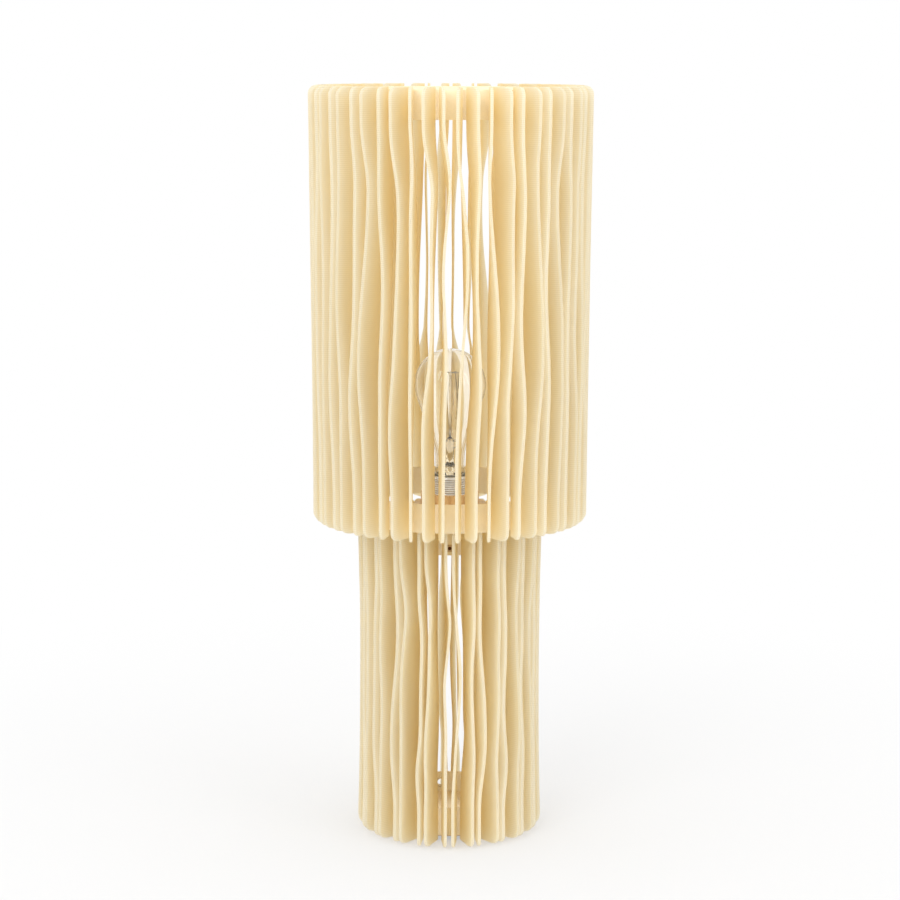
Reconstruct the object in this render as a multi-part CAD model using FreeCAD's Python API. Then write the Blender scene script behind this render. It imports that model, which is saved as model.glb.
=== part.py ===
import FreeCAD, Part
import math
import os

# Pleated paper table lamp, in millimetres. +Z is up, and the origin is on the surface that the
# lamp stands on, in the middle of its base. The photographed side faces -Y.

# ---------------------------------------------------------------- driving dimensions

# Paper leaves: each stands on edge, glued along its inner edge to two hoops
leaf_floor_gap = 1.5           # the lowest leaves end this far above the table
leaf_inner_thickness = 1.4     # at the glued edge
leaf_hem_thickness = 2.4       # at the soft folded outer edge
leaf_hem_length = 1.6          # the folded edge's depth, where the leaf is thickest
leaf_tip_thickness = 1.3       # the flat at the very edge
leaf_tip_rise = 0.2            # an outline stands this far outside the tips that it rounds off
leaf_corner_radius = 8.0
glue_gap = 0.3                 # between a leaf's inner edge and its hoop
leaf_section_step = 16.0       # the longest stretch between two cross-sections of a leaf
leaf_trim = 0.5                # cut off each end, to leave it square

# Pleated column
base_pairs = 21
base_pairs_per_node = 3
base_leaf_height = 287.0
base_radius_bottom = 83.5
base_radius_waist = 81.0
base_radius_top = 82.8
base_hoop_radius = 55.5
base_hoop_inset_low = 4.0      # from the leaves' lower ends up to the lower hoop
base_hoop_inset_top = 2.2      # from the upper hoop up to the leaves' upper ends
base_pair_outer_gap = 6.0      # between the two outer edges of a pair, at the hoops
base_wander_outer = 2.7        # the furthest that an outer edge strays sideways by itself
base_wander_inner = 1.3
base_drift_outer = 3.0         # the furthest that it strays together with its neighbours
base_drift_inner = 1.5
base_wave = 185.0              # the shortest wave of an edge
base_releases = (60.0, 60.0)   # from the lower and the upper hoop to where a leaf hangs free

# Pleated shade
shade_pairs = 27
shade_pairs_per_node = 3
shade_leaf_height = 384.0
shade_radius_bottom = 122.5
shade_radius_waist = 123.2
shade_radius_top = 125.0
shade_hoop_radius = 97.0
shade_hoop_inset_low = 4.8
shade_hoop_inset_top = 2.4
shade_pair_outer_gap = 11.0
shade_wander_outer = 4.3
shade_wander_inner = 1.8
shade_drift_outer = 4.5
shade_drift_inner = 3.0
shade_wave = 290.0
shade_releases = (120.0, 60.0)

# How the leaves hang between the hoops
pair_inner_gap = 3.0           # between the inner edges of neighbouring pairs, at the hoops
free_share = 0.4               # how far a free leaf turns from its pair's lean to evenly spaced
wave_spread = 0.6              # how much longer that wave is on other leaves, as a share of it
ripple_length = 0.47           # the ripple on a wave, as a share of the wave's length
ripple_share = 0.26            # of the sideways travel, the rest is the wave's
drift_length = 1.9             # the neighbours' shared wave, as a share of a leaf's height
drift_lag = 0.1                # how far up that wave it starts, as a share of it
drift_turns = 2                # how often that wave's phase goes round in one turn of the drum

# Hoops, strips of board bent to rings
hoop_height = 25.0
hoop_wall = 2.0

# Crosspiece in the column's upper hoop
arm_count = 3
arm_width = 12.0
crosspiece_rise = 3.1          # above the upper hoop's lower edge
crosspiece_thickness = 6.5
crosspiece_hub_radius = 22.0
tenon_width = 6.5
tenon_slot_clearance = 0.1
tenon_screw_head_radius = 1.5
tenon_screw_head_height = 0.8
tenon_screw_radius = 0.9
tenon_screw_length = 12.0

# Weight plate and feet
foot_height = 4.0
foot_radius = 7.0
foot_circle_radius = 40.0
foot_count = 4
plate_thickness = 8.0
plate_edge_clearance = 0.1
plate_screw_pair_offset = 2    # pairs from the front, so that no screw shows there

# Screws through the hoops
screw_head_radius = 2.7
screw_head_height = 1.6
screw_radius = 1.2
screw_length = 14.0
screw_clearance = 0.1

# Cord outlet, a grommet in the lower hoop beside the middle of the back
grommet_bore_radius = 3.2
grommet_body_radius = 4.0
grommet_flange_radius = 4.8
grommet_flange_thickness = 1.2
grommet_rise = 9.0             # from the weight plate up to its axis
grommet_pair = 11              # counted from the front: the pair that the cord comes out through
grommet_fit_clearance = 0.05
cord_leaf_clearance = 0.6      # from the bore's line to the leaves that stand apart for the cord

# Shade carrier, the plate that hangs the shade on the lampholder
carrier_thickness = 5.0
carrier_ring_radius = 32.0
carrier_hole_clearance = 0.4
carrier_rise = 3.7             # above the shade's lower hoop's lower edge
carrier_edge_clearance = 0.1
carrier_pair_offset = 4        # pairs from the front, so that no arm or screw shows there
seat_gap = 0.2                 # between pieces that turn on each other

# Lampholder, E27
nipple_radius = 5.0
nipple_bore_radius = 3.6
nipple_clearance = 0.15
nipple_below = 8.0             # of the nipple, under the crosspiece
nipple_inside = 10.0           # of the nipple, in the lampholder
washer_radius = 9.0
washer_thickness = 1.2
nut_across_flats = 14.0
nut_thickness = 4.0
holder_cap_radius = 19.0
holder_cap_foot_radius = 9.0
holder_cap_cone_height = 6.0
holder_cap_height = 18.0
holder_wall = 2.0
holder_flange_radius = 22.5
holder_flange_thickness = 2.7
holder_height = 52.0
holder_thread_radius = 19.5
holder_thread_depth = 0.7
holder_thread_pitch = 2.0
insert_clearance = 0.3
insert_base_height = 8.0
insert_base_rise = 13.0        # above the lampholder's foot
insert_rim_drop = 3.0          # below the lampholder's rim
screw_shell_bore_radius = 13.55
screw_shell_wall = 0.7
screw_shell_height = 23.0
screw_shell_rim_drop = 5.0
contact_width = 5.0
contact_thickness = 0.6
terminal_screw_radius = 2.0
terminal_screw_height = 3.0
terminal_screw_spread = 9.0

# Shade ring, the nut that clamps the carrier
shade_ring_radius = 26.0
shade_ring_height = 10.0
shade_ring_clearance = 0.3
shade_ring_flute_count = 24
shade_ring_flute_radius = 1.4

# Bulb, ST64 on an E27 cap
bulb_length = 140.0
bulb_radius = 32.0
bulb_cone_angle = 19.0         # degrees, between the cone's side and the axis
bulb_neck_radius = 13.2
bulb_neck_blend = 45.0
bulb_glass_wall = 0.9
bulb_tip_gap = 0.3             # between the cap's tip and the centre contact
cap_height = 28.4              # tip to glass
cap_thread_radius = 13.2
cap_thread_depth = 1.0
cap_thread_pitch = 3.6
cap_collar_radius = 13.6
cap_collar_height = 4.5
cap_wall = 0.6
cap_tip_radius = 4.8
cap_tip_height = 1.4
cap_insulator_height = 3.8
cap_insulator_radius = 10.5
stem_foot_gap = 0.1            # between the stem's foot and the neck
stem_radius = 3.2
stem_flare_height = 9.0
stem_height = 29.0
stem_rod_radius = 1.0
filament_top_drop = 21.0       # from the glass's top down to the upper supports
filament_top_radius = 7.0
filament_bottom_radius = 9.5
filament_runs = 8
filament_radius = 0.25
filament_end_gap = 0.05        # between a run's end and the wire that holds it
support_wire_radius = 0.3
support_wire_overhang = 1.0    # past the filament
lead_wire_radius = 0.4
lead_wire_rise = 7.0           # from the stem's side up to the filament

# ---------------------------------------------------------------- heights worked out from these

base_bottom_z = leaf_floor_gap
base_top_z = base_bottom_z + base_leaf_height
base_low_hoop_z = base_bottom_z + base_hoop_inset_low
base_high_hoop_z = base_top_z - base_hoop_inset_top - hoop_height
crosspiece_z = base_high_hoop_z + crosspiece_rise
crosspiece_top_z = crosspiece_z + crosspiece_thickness
plate_z = foot_height
plate_top_z = plate_z + plate_thickness

holder_z = crosspiece_top_z + washer_thickness
holder_flange_z = holder_z + holder_cap_height
holder_rim_z = holder_z + holder_height
insert_z = holder_z + insert_base_rise
insert_floor_z = insert_z + insert_base_height
screw_shell_z = holder_rim_z - screw_shell_rim_drop - screw_shell_height

carrier_z = holder_flange_z + holder_flange_thickness + seat_gap
shade_low_hoop_z = carrier_z - carrier_rise
shade_bottom_z = shade_low_hoop_z - shade_hoop_inset_low
shade_top_z = shade_bottom_z + shade_leaf_height
shade_high_hoop_z = shade_top_z - shade_hoop_inset_top - hoop_height
shade_ring_z = carrier_z + carrier_thickness + seat_gap

contact_top_z = screw_shell_z + screw_shell_wall
bulb_z = contact_top_z + bulb_tip_gap
glass_z = bulb_z + cap_height
glass_top_z = bulb_z + bulb_length
stem_top_z = glass_z + stem_height
filament_top_z = glass_top_z - filament_top_drop

FRONT = -90.0                  # degrees, the azimuth of the photographed side
GOLDEN = 0.618034              # steps that spread the leaves' waves evenly, never in time
PLASTIC = 0.754878
SILVER = 0.414214
BRONZE = 0.302776


# ---------------------------------------------------------------- general shapes

def vec(x, y, z):
    return FreeCAD.Vector(x, y, z)


def polar(radius, azimuth, z=0.0):
    """A point at this radius and azimuth, in degrees."""
    angle = math.radians(azimuth)
    return vec(radius * math.cos(angle), radius * math.sin(angle), z)


def turned(shape, azimuth):
    """The shape, turned about the lamp's axis by an angle in degrees."""
    copy = shape.copy()
    copy.rotate(vec(0, 0, 0), vec(0, 0, 1), azimuth)
    return copy


def around(shape, count, start):
    """Copies of a shape made along +X, spaced evenly round the axis."""
    return [turned(shape, start + 360.0 * i / count) for i in range(count)]


def ring(inner, outer, z, height):
    """An upright tube, or a disc where inner is 0."""
    solid = Part.makeCylinder(outer, height, vec(0, 0, z))
    if inner > 0:
        solid = solid.cut(Part.makeCylinder(inner, height, vec(0, 0, z)))
    return solid


def revolved(points):
    """A solid turned about Z from (radius, z) points."""
    corners = [vec(r, 0, z) for r, z in points]
    face = Part.Face(Part.makePolygon(corners + corners[:1]))
    return face.revolve(vec(0, 0, 0), vec(0, 0, 1), 360)


def thread_points(major, depth, pitch, low_z, high_z):
    """The (radius, z) points of thread crests between two heights, from the lowest up."""
    count = max(1, int((high_z - low_z) / pitch))
    step = (high_z - low_z) / count
    points = [(major - depth, low_z)]
    for i in range(count):
        points.append((major, low_z + step * (i + 0.5)))
        points.append((major - depth, low_z + step * (i + 1)))
    return points


def rod(radius, start, end):
    """A round bar between two points."""
    axis = end.sub(start)
    return Part.makeCylinder(radius, axis.Length, start, axis)


def radial_screw(shank_radius, shank_length, head_radius, head_height, seat_radius, z):
    """A pan-head screw along +X, pointing inwards, with its head's underside at seat_radius."""
    head = Part.makeCylinder(head_radius, head_height, vec(seat_radius, 0, z), vec(1, 0, 0))
    shank = Part.makeCylinder(shank_radius, shank_length, vec(seat_radius, 0, z), vec(-1, 0, 0))
    return head.fuse(shank)


def save(name, *solids):
    """Write one node, of one solid or of several separate ones."""
    shape = solids[0] if len(solids) == 1 else Part.makeCompound(list(solids))
    shape.exportStep("parts/" + name + ".step")


# ---------------------------------------------------------------- paper leaves

def fraction(value):
    return value - math.floor(value)


def smooth(value):
    """0 to 1 in an S-shaped step."""
    t = min(max(value, 0.0), 1.0)
    return t * t * (3.0 - 2.0 * t)


def wander(index, height, offset, wave):
    """A leaf edge's own sideways stray at a height, from -1 to 1: a wave with a ripple on it."""
    wave_length = wave * (1.0 + wave_spread * fraction(index * SILVER + offset))
    ripple = wave * ripple_length * (1.0 + wave_spread * fraction(index * BRONZE + offset))
    wave_part = math.sin(2 * math.pi * (height / wave_length + index * GOLDEN + offset))
    ripple_part = math.sin(2 * math.pi * (height / ripple + index * PLASTIC + offset))
    return (1.0 - ripple_share) * wave_part + ripple_share * ripple_part


class Drum:
    """The sizes of one pleated drum, and how its leaves stand."""

    def __init__(self, pairs, bottom_z, height, radii, hoop_radius, insets, outer_gap, wanders,
                 drifts, wave, releases, wide_gaps):
        self.pairs = pairs
        self.bottom_z = bottom_z
        self.height = height
        self.radius_bottom, self.radius_waist, self.radius_top = radii
        self.inner_radius = hoop_radius + glue_gap
        self.inset_low, self.inset_top = insets
        self.outer_gap = outer_gap
        self.wander_outer, self.wander_inner = wanders
        self.drift_outer, self.drift_inner = drifts
        self.wave = wave
        self.release_low, self.release_top = releases
        self.wide_gaps = wide_gaps     # pairs whose outer edges are held further apart

    def outer_radius(self, height):
        """The radius through the bottom, the waist at half height and the top."""
        t = height / self.height
        bottom = self.radius_bottom * (1 - t) * (1 - 2 * t)
        waist = self.radius_waist * 4 * t * (1 - t)
        top = self.radius_top * t * (2 * t - 1)
        return bottom + waist + top

    def freedom(self, height):
        """0 where the hoops hold a leaf, 1 where it hangs free."""
        above = (height - self.inset_low - hoop_height) / self.release_low
        below = (self.height - height - self.inset_top - hoop_height) / self.release_top
        return smooth(min(above, below))

    def drift(self, index, height):
        """The sideways stray that neighbouring leaves share, from -1 to 1."""
        rise = height / (drift_length * self.height) - drift_lag
        return math.sin(2 * math.pi * (rise + drift_turns * index / (2 * self.pairs)))

    def edge_offsets(self, index, height):
        """How far a leaf's inner and outer edges lie sideways of its pair's middle plane."""
        side = 1.0 if index % 2 else -1.0
        free = self.freedom(height)
        half_pitch = math.pi / self.pairs
        outer_radius = self.outer_radius(height)
        inner_held = self.inner_radius * half_pitch - pair_inner_gap / 2
        inner_even = self.inner_radius * half_pitch / 2
        outer_held = self.wide_gaps.get(index // 2, self.outer_gap) / 2
        outer_even = outer_radius * half_pitch / 2
        inner = side * (inner_held + (inner_even - inner_held) * free_share * free)
        outer = side * (outer_held + (outer_even - outer_held) * free_share * free)
        shared = free * self.drift(index, height)
        inner += self.wander_inner * free * wander(index, height, 0.5, self.wave)
        outer += self.wander_outer * free * wander(index, height, 0.0, self.wave)
        return inner + self.drift_inner * shared, outer + self.drift_outer * shared

    def pair_azimuth(self, pair):
        return FRONT + 360.0 * pair / self.pairs

    def section(self, index, height):
        """A leaf's level cross-section: a thin sheet that thickens to a soft outer hem."""
        azimuth = self.pair_azimuth(index // 2)
        inner_offset, outer_offset = self.edge_offsets(index, height)
        z = self.bottom_z + height
        # an offset is an arc along the drum, so that the edges keep their radius
        inner_turn = math.degrees(inner_offset / self.inner_radius)
        outer_turn = math.degrees(outer_offset / self.outer_radius(height))
        inner = polar(self.inner_radius, azimuth + inner_turn, z)
        outer = polar(self.outer_radius(height), azimuth + outer_turn, z)
        along = outer.sub(inner)
        along.normalize()
        across = vec(-along.y, along.x, 0)
        shoulder = outer - along * leaf_hem_length
        half_hem = leaf_hem_thickness / 2
        half_inner = leaf_inner_thickness / 2
        half_tip = leaf_tip_thickness / 2
        corners = [inner + across * half_inner,
                   shoulder + across * half_hem,
                   outer + across * half_tip,
                   outer - across * half_tip,
                   shoulder - across * half_hem,
                   inner - across * half_inner]
        return Part.makePolygon(corners + corners[:1])

    def outline(self):
        """The upright outline of a leaf with its rounded outer corners, thick across the leaf."""
        spare = 1.0            # clear of the leaf wherever nothing is to be trimmed
        half_width = self.inner_radius
        low_z = self.bottom_z
        high_z = self.bottom_z + self.height
        radius = leaf_corner_radius
        arc_point = radius * (1 - math.sqrt(0.5))
        low_edge = self.radius_bottom + leaf_tip_rise
        high_edge = self.radius_top + leaf_tip_rise
        inside = self.inner_radius / 2
        low_start = vec(low_edge - radius, -half_width, low_z)
        low_mid = vec(low_edge - arc_point, -half_width, low_z + arc_point)
        low_end = vec(low_edge, -half_width, low_z + radius)
        high_start = vec(high_edge, -half_width, high_z - radius)
        high_mid = vec(high_edge - arc_point, -half_width, high_z - arc_point)
        high_end = vec(high_edge - radius, -half_width, high_z)
        side = [low_end,
                low_end + vec(spare, 0, 0),
                high_start + vec(spare, 0, 0),
                high_start]
        back = [high_end,
                vec(inside, -half_width, high_z),
                vec(inside, -half_width, low_z),
                low_start]
        edges = [Part.Arc(low_start, low_mid, low_end).toShape()]
        edges += Part.makePolygon(side).Edges
        edges.append(Part.Arc(high_start, high_mid, high_end).toShape())
        edges += Part.makePolygon(back).Edges
        face = Part.Face(Part.Wire(edges))
        return face.extrude(vec(0, 2 * half_width, 0))

    def leaves(self):
        """Every leaf, in order round the drum."""
        outline = self.outline()
        steps = math.ceil(self.height / leaf_section_step)
        span = self.height + 2 * leaf_trim
        solids = []
        for index in range(2 * self.pairs):
            heights = [-leaf_trim + span * i / steps for i in range(steps + 1)]
            sheet = Part.makeLoft([self.section(index, h) for h in heights], True, False)
            trimmed = sheet.common(turned(outline, self.pair_azimuth(index // 2)))
            solids.append(trimmed.Solids[0])
        return solids


def save_leaves(name, drum, pairs_per_node):
    """Write the leaves in nodes of a few neighbouring pairs each."""
    leaves = drum.leaves()
    per_node = 2 * pairs_per_node
    for number, first in enumerate(range(0, len(leaves), per_node), start=1):
        save(name + "_" + str(number), *leaves[first:first + per_node])


cord_gap = 2 * (grommet_bore_radius + cord_leaf_clearance) + leaf_hem_thickness
base_drum = Drum(base_pairs, base_bottom_z, base_leaf_height,
                 (base_radius_bottom, base_radius_waist, base_radius_top),
                 base_hoop_radius, (base_hoop_inset_low, base_hoop_inset_top),
                 base_pair_outer_gap, (base_wander_outer, base_wander_inner),
                 (base_drift_outer, base_drift_inner), base_wave, base_releases,
                 {grommet_pair: cord_gap})
shade_drum = Drum(shade_pairs, shade_bottom_z, shade_leaf_height,
                  (shade_radius_bottom, shade_radius_waist, shade_radius_top),
                  shade_hoop_radius, (shade_hoop_inset_low, shade_hoop_inset_top),
                  shade_pair_outer_gap, (shade_wander_outer, shade_wander_inner),
                  (shade_drift_outer, shade_drift_inner), shade_wave, shade_releases, {})


# ---------------------------------------------------------------- hoops and what they hold

def hoop(outer_radius, z):
    return ring(outer_radius - hoop_wall, outer_radius, z, hoop_height)


def screw_hole(radius, length, seat_radius, z):
    """The way of a radial screw, along +X, with its clearance."""
    start = vec(seat_radius + screw_head_height, 0, z)
    reach = length + screw_head_height + screw_clearance
    return Part.makeCylinder(radius + screw_clearance, reach, start, vec(-1, 0, 0))


def three_armed_plate(z, thickness, hub_radius, hole_radius, reach):
    """A flat plate with a round hub, a hole and arms, the first of them along +X."""
    plate = ring(0, hub_radius, z, thickness)
    bar = Part.makeBox(reach, arm_width, thickness, vec(0, -arm_width / 2, z))
    for arm in around(bar, arm_count, 0):
        plate = plate.fuse(arm)
    plate = plate.common(ring(0, reach, z, thickness))
    return plate.cut(ring(0, hole_radius, z, thickness))


def lower_column():
    """The lower hoop with its weight plate, edge screws, feet and cord outlet."""
    start = FRONT + plate_screw_pair_offset * 360.0 / base_pairs
    # the screws' heads seat on the hoop, which may start above the plate's middle
    screw_z = max(plate_z + plate_thickness / 2, base_low_hoop_z + screw_head_radius)
    body = hoop(base_hoop_radius, base_low_hoop_z)
    inside = base_hoop_radius - hoop_wall - plate_edge_clearance
    plate = ring(0, inside, plate_z, plate_thickness)
    for hole in around(screw_hole(screw_radius, screw_length, base_hoop_radius, screw_z),
                       arm_count, start):
        body = body.cut(hole)
        plate = plate.cut(hole)
    screw = radial_screw(screw_radius, screw_length, screw_head_radius, screw_head_height,
                         base_hoop_radius, screw_z)
    grommet_z = plate_top_z + grommet_rise
    azimuth = base_drum.pair_azimuth(grommet_pair)
    outlet_hole = Part.makeCylinder(grommet_body_radius + grommet_fit_clearance, hoop_wall * 3,
                                    vec(base_hoop_radius - 2 * hoop_wall, 0, grommet_z),
                                    vec(1, 0, 0))
    body = body.cut(turned(outlet_hole, azimuth))
    save("base_lower_hoop", body)
    save("weight_plate", plate)
    save("plate_screws", *around(screw, arm_count, start))
    foot = Part.makeCylinder(foot_radius, foot_height, vec(foot_circle_radius, 0, 0))
    save("rubber_feet", *around(foot, foot_count, FRONT + 180.0 / foot_count))
    save("cord_grommet", turned(grommet(grommet_z), azimuth))


def grommet(z):
    """A rubber sleeve along +X through the hoop's wall, with a flange on each side."""
    sagitta = base_hoop_radius - math.sqrt(base_hoop_radius ** 2 - grommet_flange_radius ** 2)
    inner = base_hoop_radius - hoop_wall - sagitta
    pieces = [(inner - grommet_flange_thickness, grommet_flange_thickness, grommet_flange_radius),
              (inner, hoop_wall + sagitta, grommet_body_radius),
              (base_hoop_radius, grommet_flange_thickness, grommet_flange_radius)]
    sleeve = None
    for start, length, radius in pieces:
        piece = Part.makeCylinder(radius, length, vec(start, 0, z), vec(1, 0, 0))
        sleeve = piece if sleeve is None else sleeve.fuse(piece)
    start = inner - grommet_flange_thickness
    length = hoop_wall + sagitta + 2 * grommet_flange_thickness
    bore = Part.makeCylinder(grommet_bore_radius, length, vec(start, 0, z), vec(1, 0, 0))
    return sleeve.cut(bore)


def upper_column():
    """The upper hoop with its crosspiece, whose tenons end flush in the hoop's slots."""
    inside = base_hoop_radius - hoop_wall - tenon_slot_clearance
    screw_z = crosspiece_z + crosspiece_thickness / 2
    plate = three_armed_plate(crosspiece_z, crosspiece_thickness, crosspiece_hub_radius,
                              nipple_radius + nipple_clearance, inside)
    tenon = Part.makeBox(base_hoop_radius - inside + arm_width, tenon_width, crosspiece_thickness,
                         vec(inside - arm_width, -tenon_width / 2, crosspiece_z))
    slot_width = tenon_width + 2 * tenon_slot_clearance
    slot_height = crosspiece_thickness + 2 * tenon_slot_clearance
    slot = Part.makeBox(3 * hoop_wall, slot_width, slot_height,
                        vec(base_hoop_radius - 2 * hoop_wall, -slot_width / 2,
                            crosspiece_z - tenon_slot_clearance))
    body = hoop(base_hoop_radius, base_high_hoop_z)
    for part in around(tenon, arm_count, 0):
        plate = plate.fuse(part)
    plate = plate.common(ring(0, base_hoop_radius, crosspiece_z, crosspiece_thickness))
    seat = base_hoop_radius
    hole = Part.makeCylinder(tenon_screw_radius + screw_clearance,
                             tenon_screw_length + screw_clearance,
                             vec(seat, 0, screw_z), vec(-1, 0, 0))
    for part in around(hole, arm_count, 0):
        plate = plate.cut(part)
    for part in around(slot, arm_count, FRONT):
        body = body.cut(part)
    screw = radial_screw(tenon_screw_radius, tenon_screw_length, tenon_screw_head_radius,
                         tenon_screw_head_height, seat, screw_z)
    save("base_upper_hoop", body)
    save("crosspiece", turned(plate, FRONT))
    save("tenon_screws", *around(screw, arm_count, FRONT))


def shade_frame():
    """The shade's two hoops, and the carrier plate screwed into the lower one."""
    start = FRONT + carrier_pair_offset * 360.0 / shade_pairs
    inside = shade_hoop_radius - hoop_wall - carrier_edge_clearance
    screw_z = carrier_z + carrier_thickness / 2
    plate = three_armed_plate(carrier_z, carrier_thickness, carrier_ring_radius,
                              holder_thread_radius + carrier_hole_clearance, inside)
    body = hoop(shade_hoop_radius, shade_low_hoop_z)
    hole = screw_hole(screw_radius, screw_length, shade_hoop_radius, screw_z)
    for part in around(hole, arm_count, 0):
        plate = plate.cut(part)
        body = body.cut(part)
    screw = radial_screw(screw_radius, screw_length, screw_head_radius, screw_head_height,
                         shade_hoop_radius, screw_z)
    save("shade_lower_hoop", turned(body, start))
    save("shade_upper_hoop", hoop(shade_hoop_radius, shade_high_hoop_z))
    save("shade_carrier", turned(plate, start))
    save("carrier_screws", *around(screw, arm_count, start))


# ---------------------------------------------------------------- lampholder

def nipple_set():
    """The threaded tube through the crosspiece, its nut below and a washer on each side."""
    low_z = crosspiece_z - nipple_below
    height = nipple_below + crosspiece_thickness + washer_thickness + nipple_inside
    hole = nipple_radius + nipple_clearance
    lower_washer_z = crosspiece_z - washer_thickness
    nut_z = lower_washer_z - nut_thickness
    corner = nut_across_flats / math.sqrt(3)
    hexagon = [polar(corner, 60.0 * i, nut_z) for i in range(7)]
    nut = Part.Face(Part.makePolygon(hexagon)).extrude(vec(0, 0, nut_thickness))
    save("nipple", ring(nipple_bore_radius, nipple_radius, low_z, height))
    save("nipple_nut", nut.cut(ring(0, hole, nut_z, nut_thickness)))
    save("nipple_washers",
         ring(hole, washer_radius, lower_washer_z, washer_thickness),
         ring(hole, washer_radius, crosspiece_top_z, washer_thickness))


def holder_shells():
    """The lampholder's lower shell, and its upper shell with the outside thread."""
    hole = nipple_radius + nipple_clearance
    cone_z = holder_z + holder_cap_cone_height
    inner = holder_cap_radius - holder_wall
    cap = revolved([(hole, holder_z),
                    (holder_cap_foot_radius, holder_z),
                    (holder_cap_radius, cone_z),
                    (holder_cap_radius, holder_flange_z),
                    (inner, holder_flange_z),
                    (inner, cone_z + holder_wall),
                    (holder_cap_foot_radius, holder_z + holder_wall),
                    (hole, holder_z + holder_wall)])
    bore = holder_thread_radius - holder_wall
    flange_top_z = holder_flange_z + holder_flange_thickness
    skirt = [(bore, holder_flange_z),
             (holder_flange_radius, holder_flange_z),
             (holder_flange_radius, flange_top_z)]
    skirt += thread_points(holder_thread_radius, holder_thread_depth, holder_thread_pitch,
                           flange_top_z, holder_rim_z)
    skirt.append((bore, holder_rim_z))
    save("holder_cap", cap)
    save("holder_skirt", revolved(skirt))


def holder_inside():
    """The insulating insert with the screw shell, the centre contact and two terminal screws."""
    outer = holder_cap_radius - holder_wall - insert_clearance
    shell_outer = screw_shell_bore_radius + screw_shell_wall
    shell_top_z = screw_shell_z + screw_shell_height
    insert = revolved([(nipple_bore_radius, insert_z),
                       (outer, insert_z),
                       (outer, holder_rim_z - insert_rim_drop),
                       (shell_outer, holder_rim_z - insert_rim_drop),
                       (shell_outer, insert_floor_z),
                       (nipple_bore_radius, insert_floor_z)])
    shell = revolved([(screw_shell_bore_radius, screw_shell_z),
                      (shell_outer, screw_shell_z),
                      (shell_outer, shell_top_z),
                      (screw_shell_bore_radius, shell_top_z)])
    length = screw_shell_bore_radius
    # a strip bent twice: flat on the insert, rising, then flat under the bulb's tip
    low = [vec(length, 0, insert_floor_z),
           vec(length / 2, 0, insert_floor_z),
           vec(length / 3, 0, contact_top_z - contact_thickness),
           vec(-length / 3, 0, contact_top_z - contact_thickness)]
    lift = vec(0, 0, contact_thickness)
    profile = low + [point + lift for point in reversed(low)]
    strip = Part.Face(Part.makePolygon(profile + profile[:1]))
    strip = strip.extrude(vec(0, contact_width, 0))
    strip.translate(vec(0, -contact_width / 2, 0))
    screws = [Part.makeCylinder(terminal_screw_radius, terminal_screw_height,
                                vec(side * terminal_screw_spread, 0,
                                    insert_z - terminal_screw_height))
              for side in (-1, 1)]
    save("holder_insert", insert)
    save("holder_screw_shell", shell)
    save("holder_contact", strip)
    save("terminal_screws", *screws)


def shade_ring():
    """The fluted nut that holds the carrier down on the lampholder's flange."""
    nut = ring(holder_thread_radius + shade_ring_clearance, shade_ring_radius,
               shade_ring_z, shade_ring_height)
    flute = Part.makeCylinder(shade_ring_flute_radius, shade_ring_height,
                              vec(shade_ring_radius, 0, shade_ring_z))
    for cutter in around(flute, shade_ring_flute_count, 0):
        nut = nut.cut(cutter)
    save("shade_ring", nut)


# ---------------------------------------------------------------- bulb

def glass_solid(inset):
    """The bulb's outer form, drawn in by an inset: neck, blend, cone and round dome."""
    slope = math.radians(bulb_cone_angle)
    radius = bulb_radius - inset
    neck = bulb_neck_radius - inset
    centre_z = glass_top_z - bulb_radius
    side = vec(radius * math.cos(slope), 0, centre_z - radius * math.sin(slope))
    dome_mid = vec(radius * math.cos(math.pi / 4), 0, centre_z + radius * math.sin(math.pi / 4))
    bend_z = side.z - (side.x - neck) / math.tan(slope)
    blend = bulb_neck_blend + inset
    reach = blend * math.tan(slope / 2)
    blend_low = vec(neck, 0, bend_z - reach)
    blend_high = vec(neck + reach * math.sin(slope), 0, bend_z + reach * math.cos(slope))
    blend_mid = vec(neck + blend * (1 - math.cos(slope / 2)), 0,
                    blend_low.z + blend * math.sin(slope / 2))
    top = vec(0, 0, centre_z + radius)
    foot = vec(neck, 0, glass_z)
    edges = [Part.LineSegment(vec(0, 0, glass_z), foot).toShape(),
             Part.LineSegment(foot, blend_low).toShape(),
             Part.Arc(blend_low, blend_mid, blend_high).toShape(),
             Part.LineSegment(blend_high, side).toShape(),
             Part.Arc(side, dome_mid, top).toShape(),
             Part.LineSegment(top, vec(0, 0, glass_z)).toShape()]
    return Part.Face(Part.Wire(edges)).revolve(vec(0, 0, 0), vec(0, 0, 1), 360)


def bulb_cap():
    """The threaded shell, its black insulator and the contact at the tip."""
    insulator_z = bulb_z + cap_tip_height
    shell_z = insulator_z + cap_insulator_height
    collar_z = glass_z - cap_collar_height
    core = cap_thread_radius - cap_thread_depth
    inner = core - cap_wall
    shell = [(inner, shell_z)]
    shell += thread_points(cap_thread_radius, cap_thread_depth, cap_thread_pitch,
                           shell_z, collar_z)
    shell += [(cap_collar_radius, collar_z),
              (cap_collar_radius, glass_z),
              (inner, glass_z)]
    insulator = [(0, insulator_z),
                 (cap_tip_radius, insulator_z),
                 (cap_insulator_radius, shell_z),
                 (0, shell_z)]
    seat = [(0, shell_z),
            (inner, shell_z),
            (inner, shell_z + cap_wall),
            (0, shell_z + cap_wall)]
    tip = [(0, bulb_z),
           (cap_tip_radius / 2, bulb_z),
           (cap_tip_radius, insulator_z),
           (0, insulator_z)]
    save("bulb_cap", revolved(shell))
    save("bulb_cap_insulator", revolved(insulator).fuse(revolved(seat)))
    save("bulb_cap_tip", revolved(tip))


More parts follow.
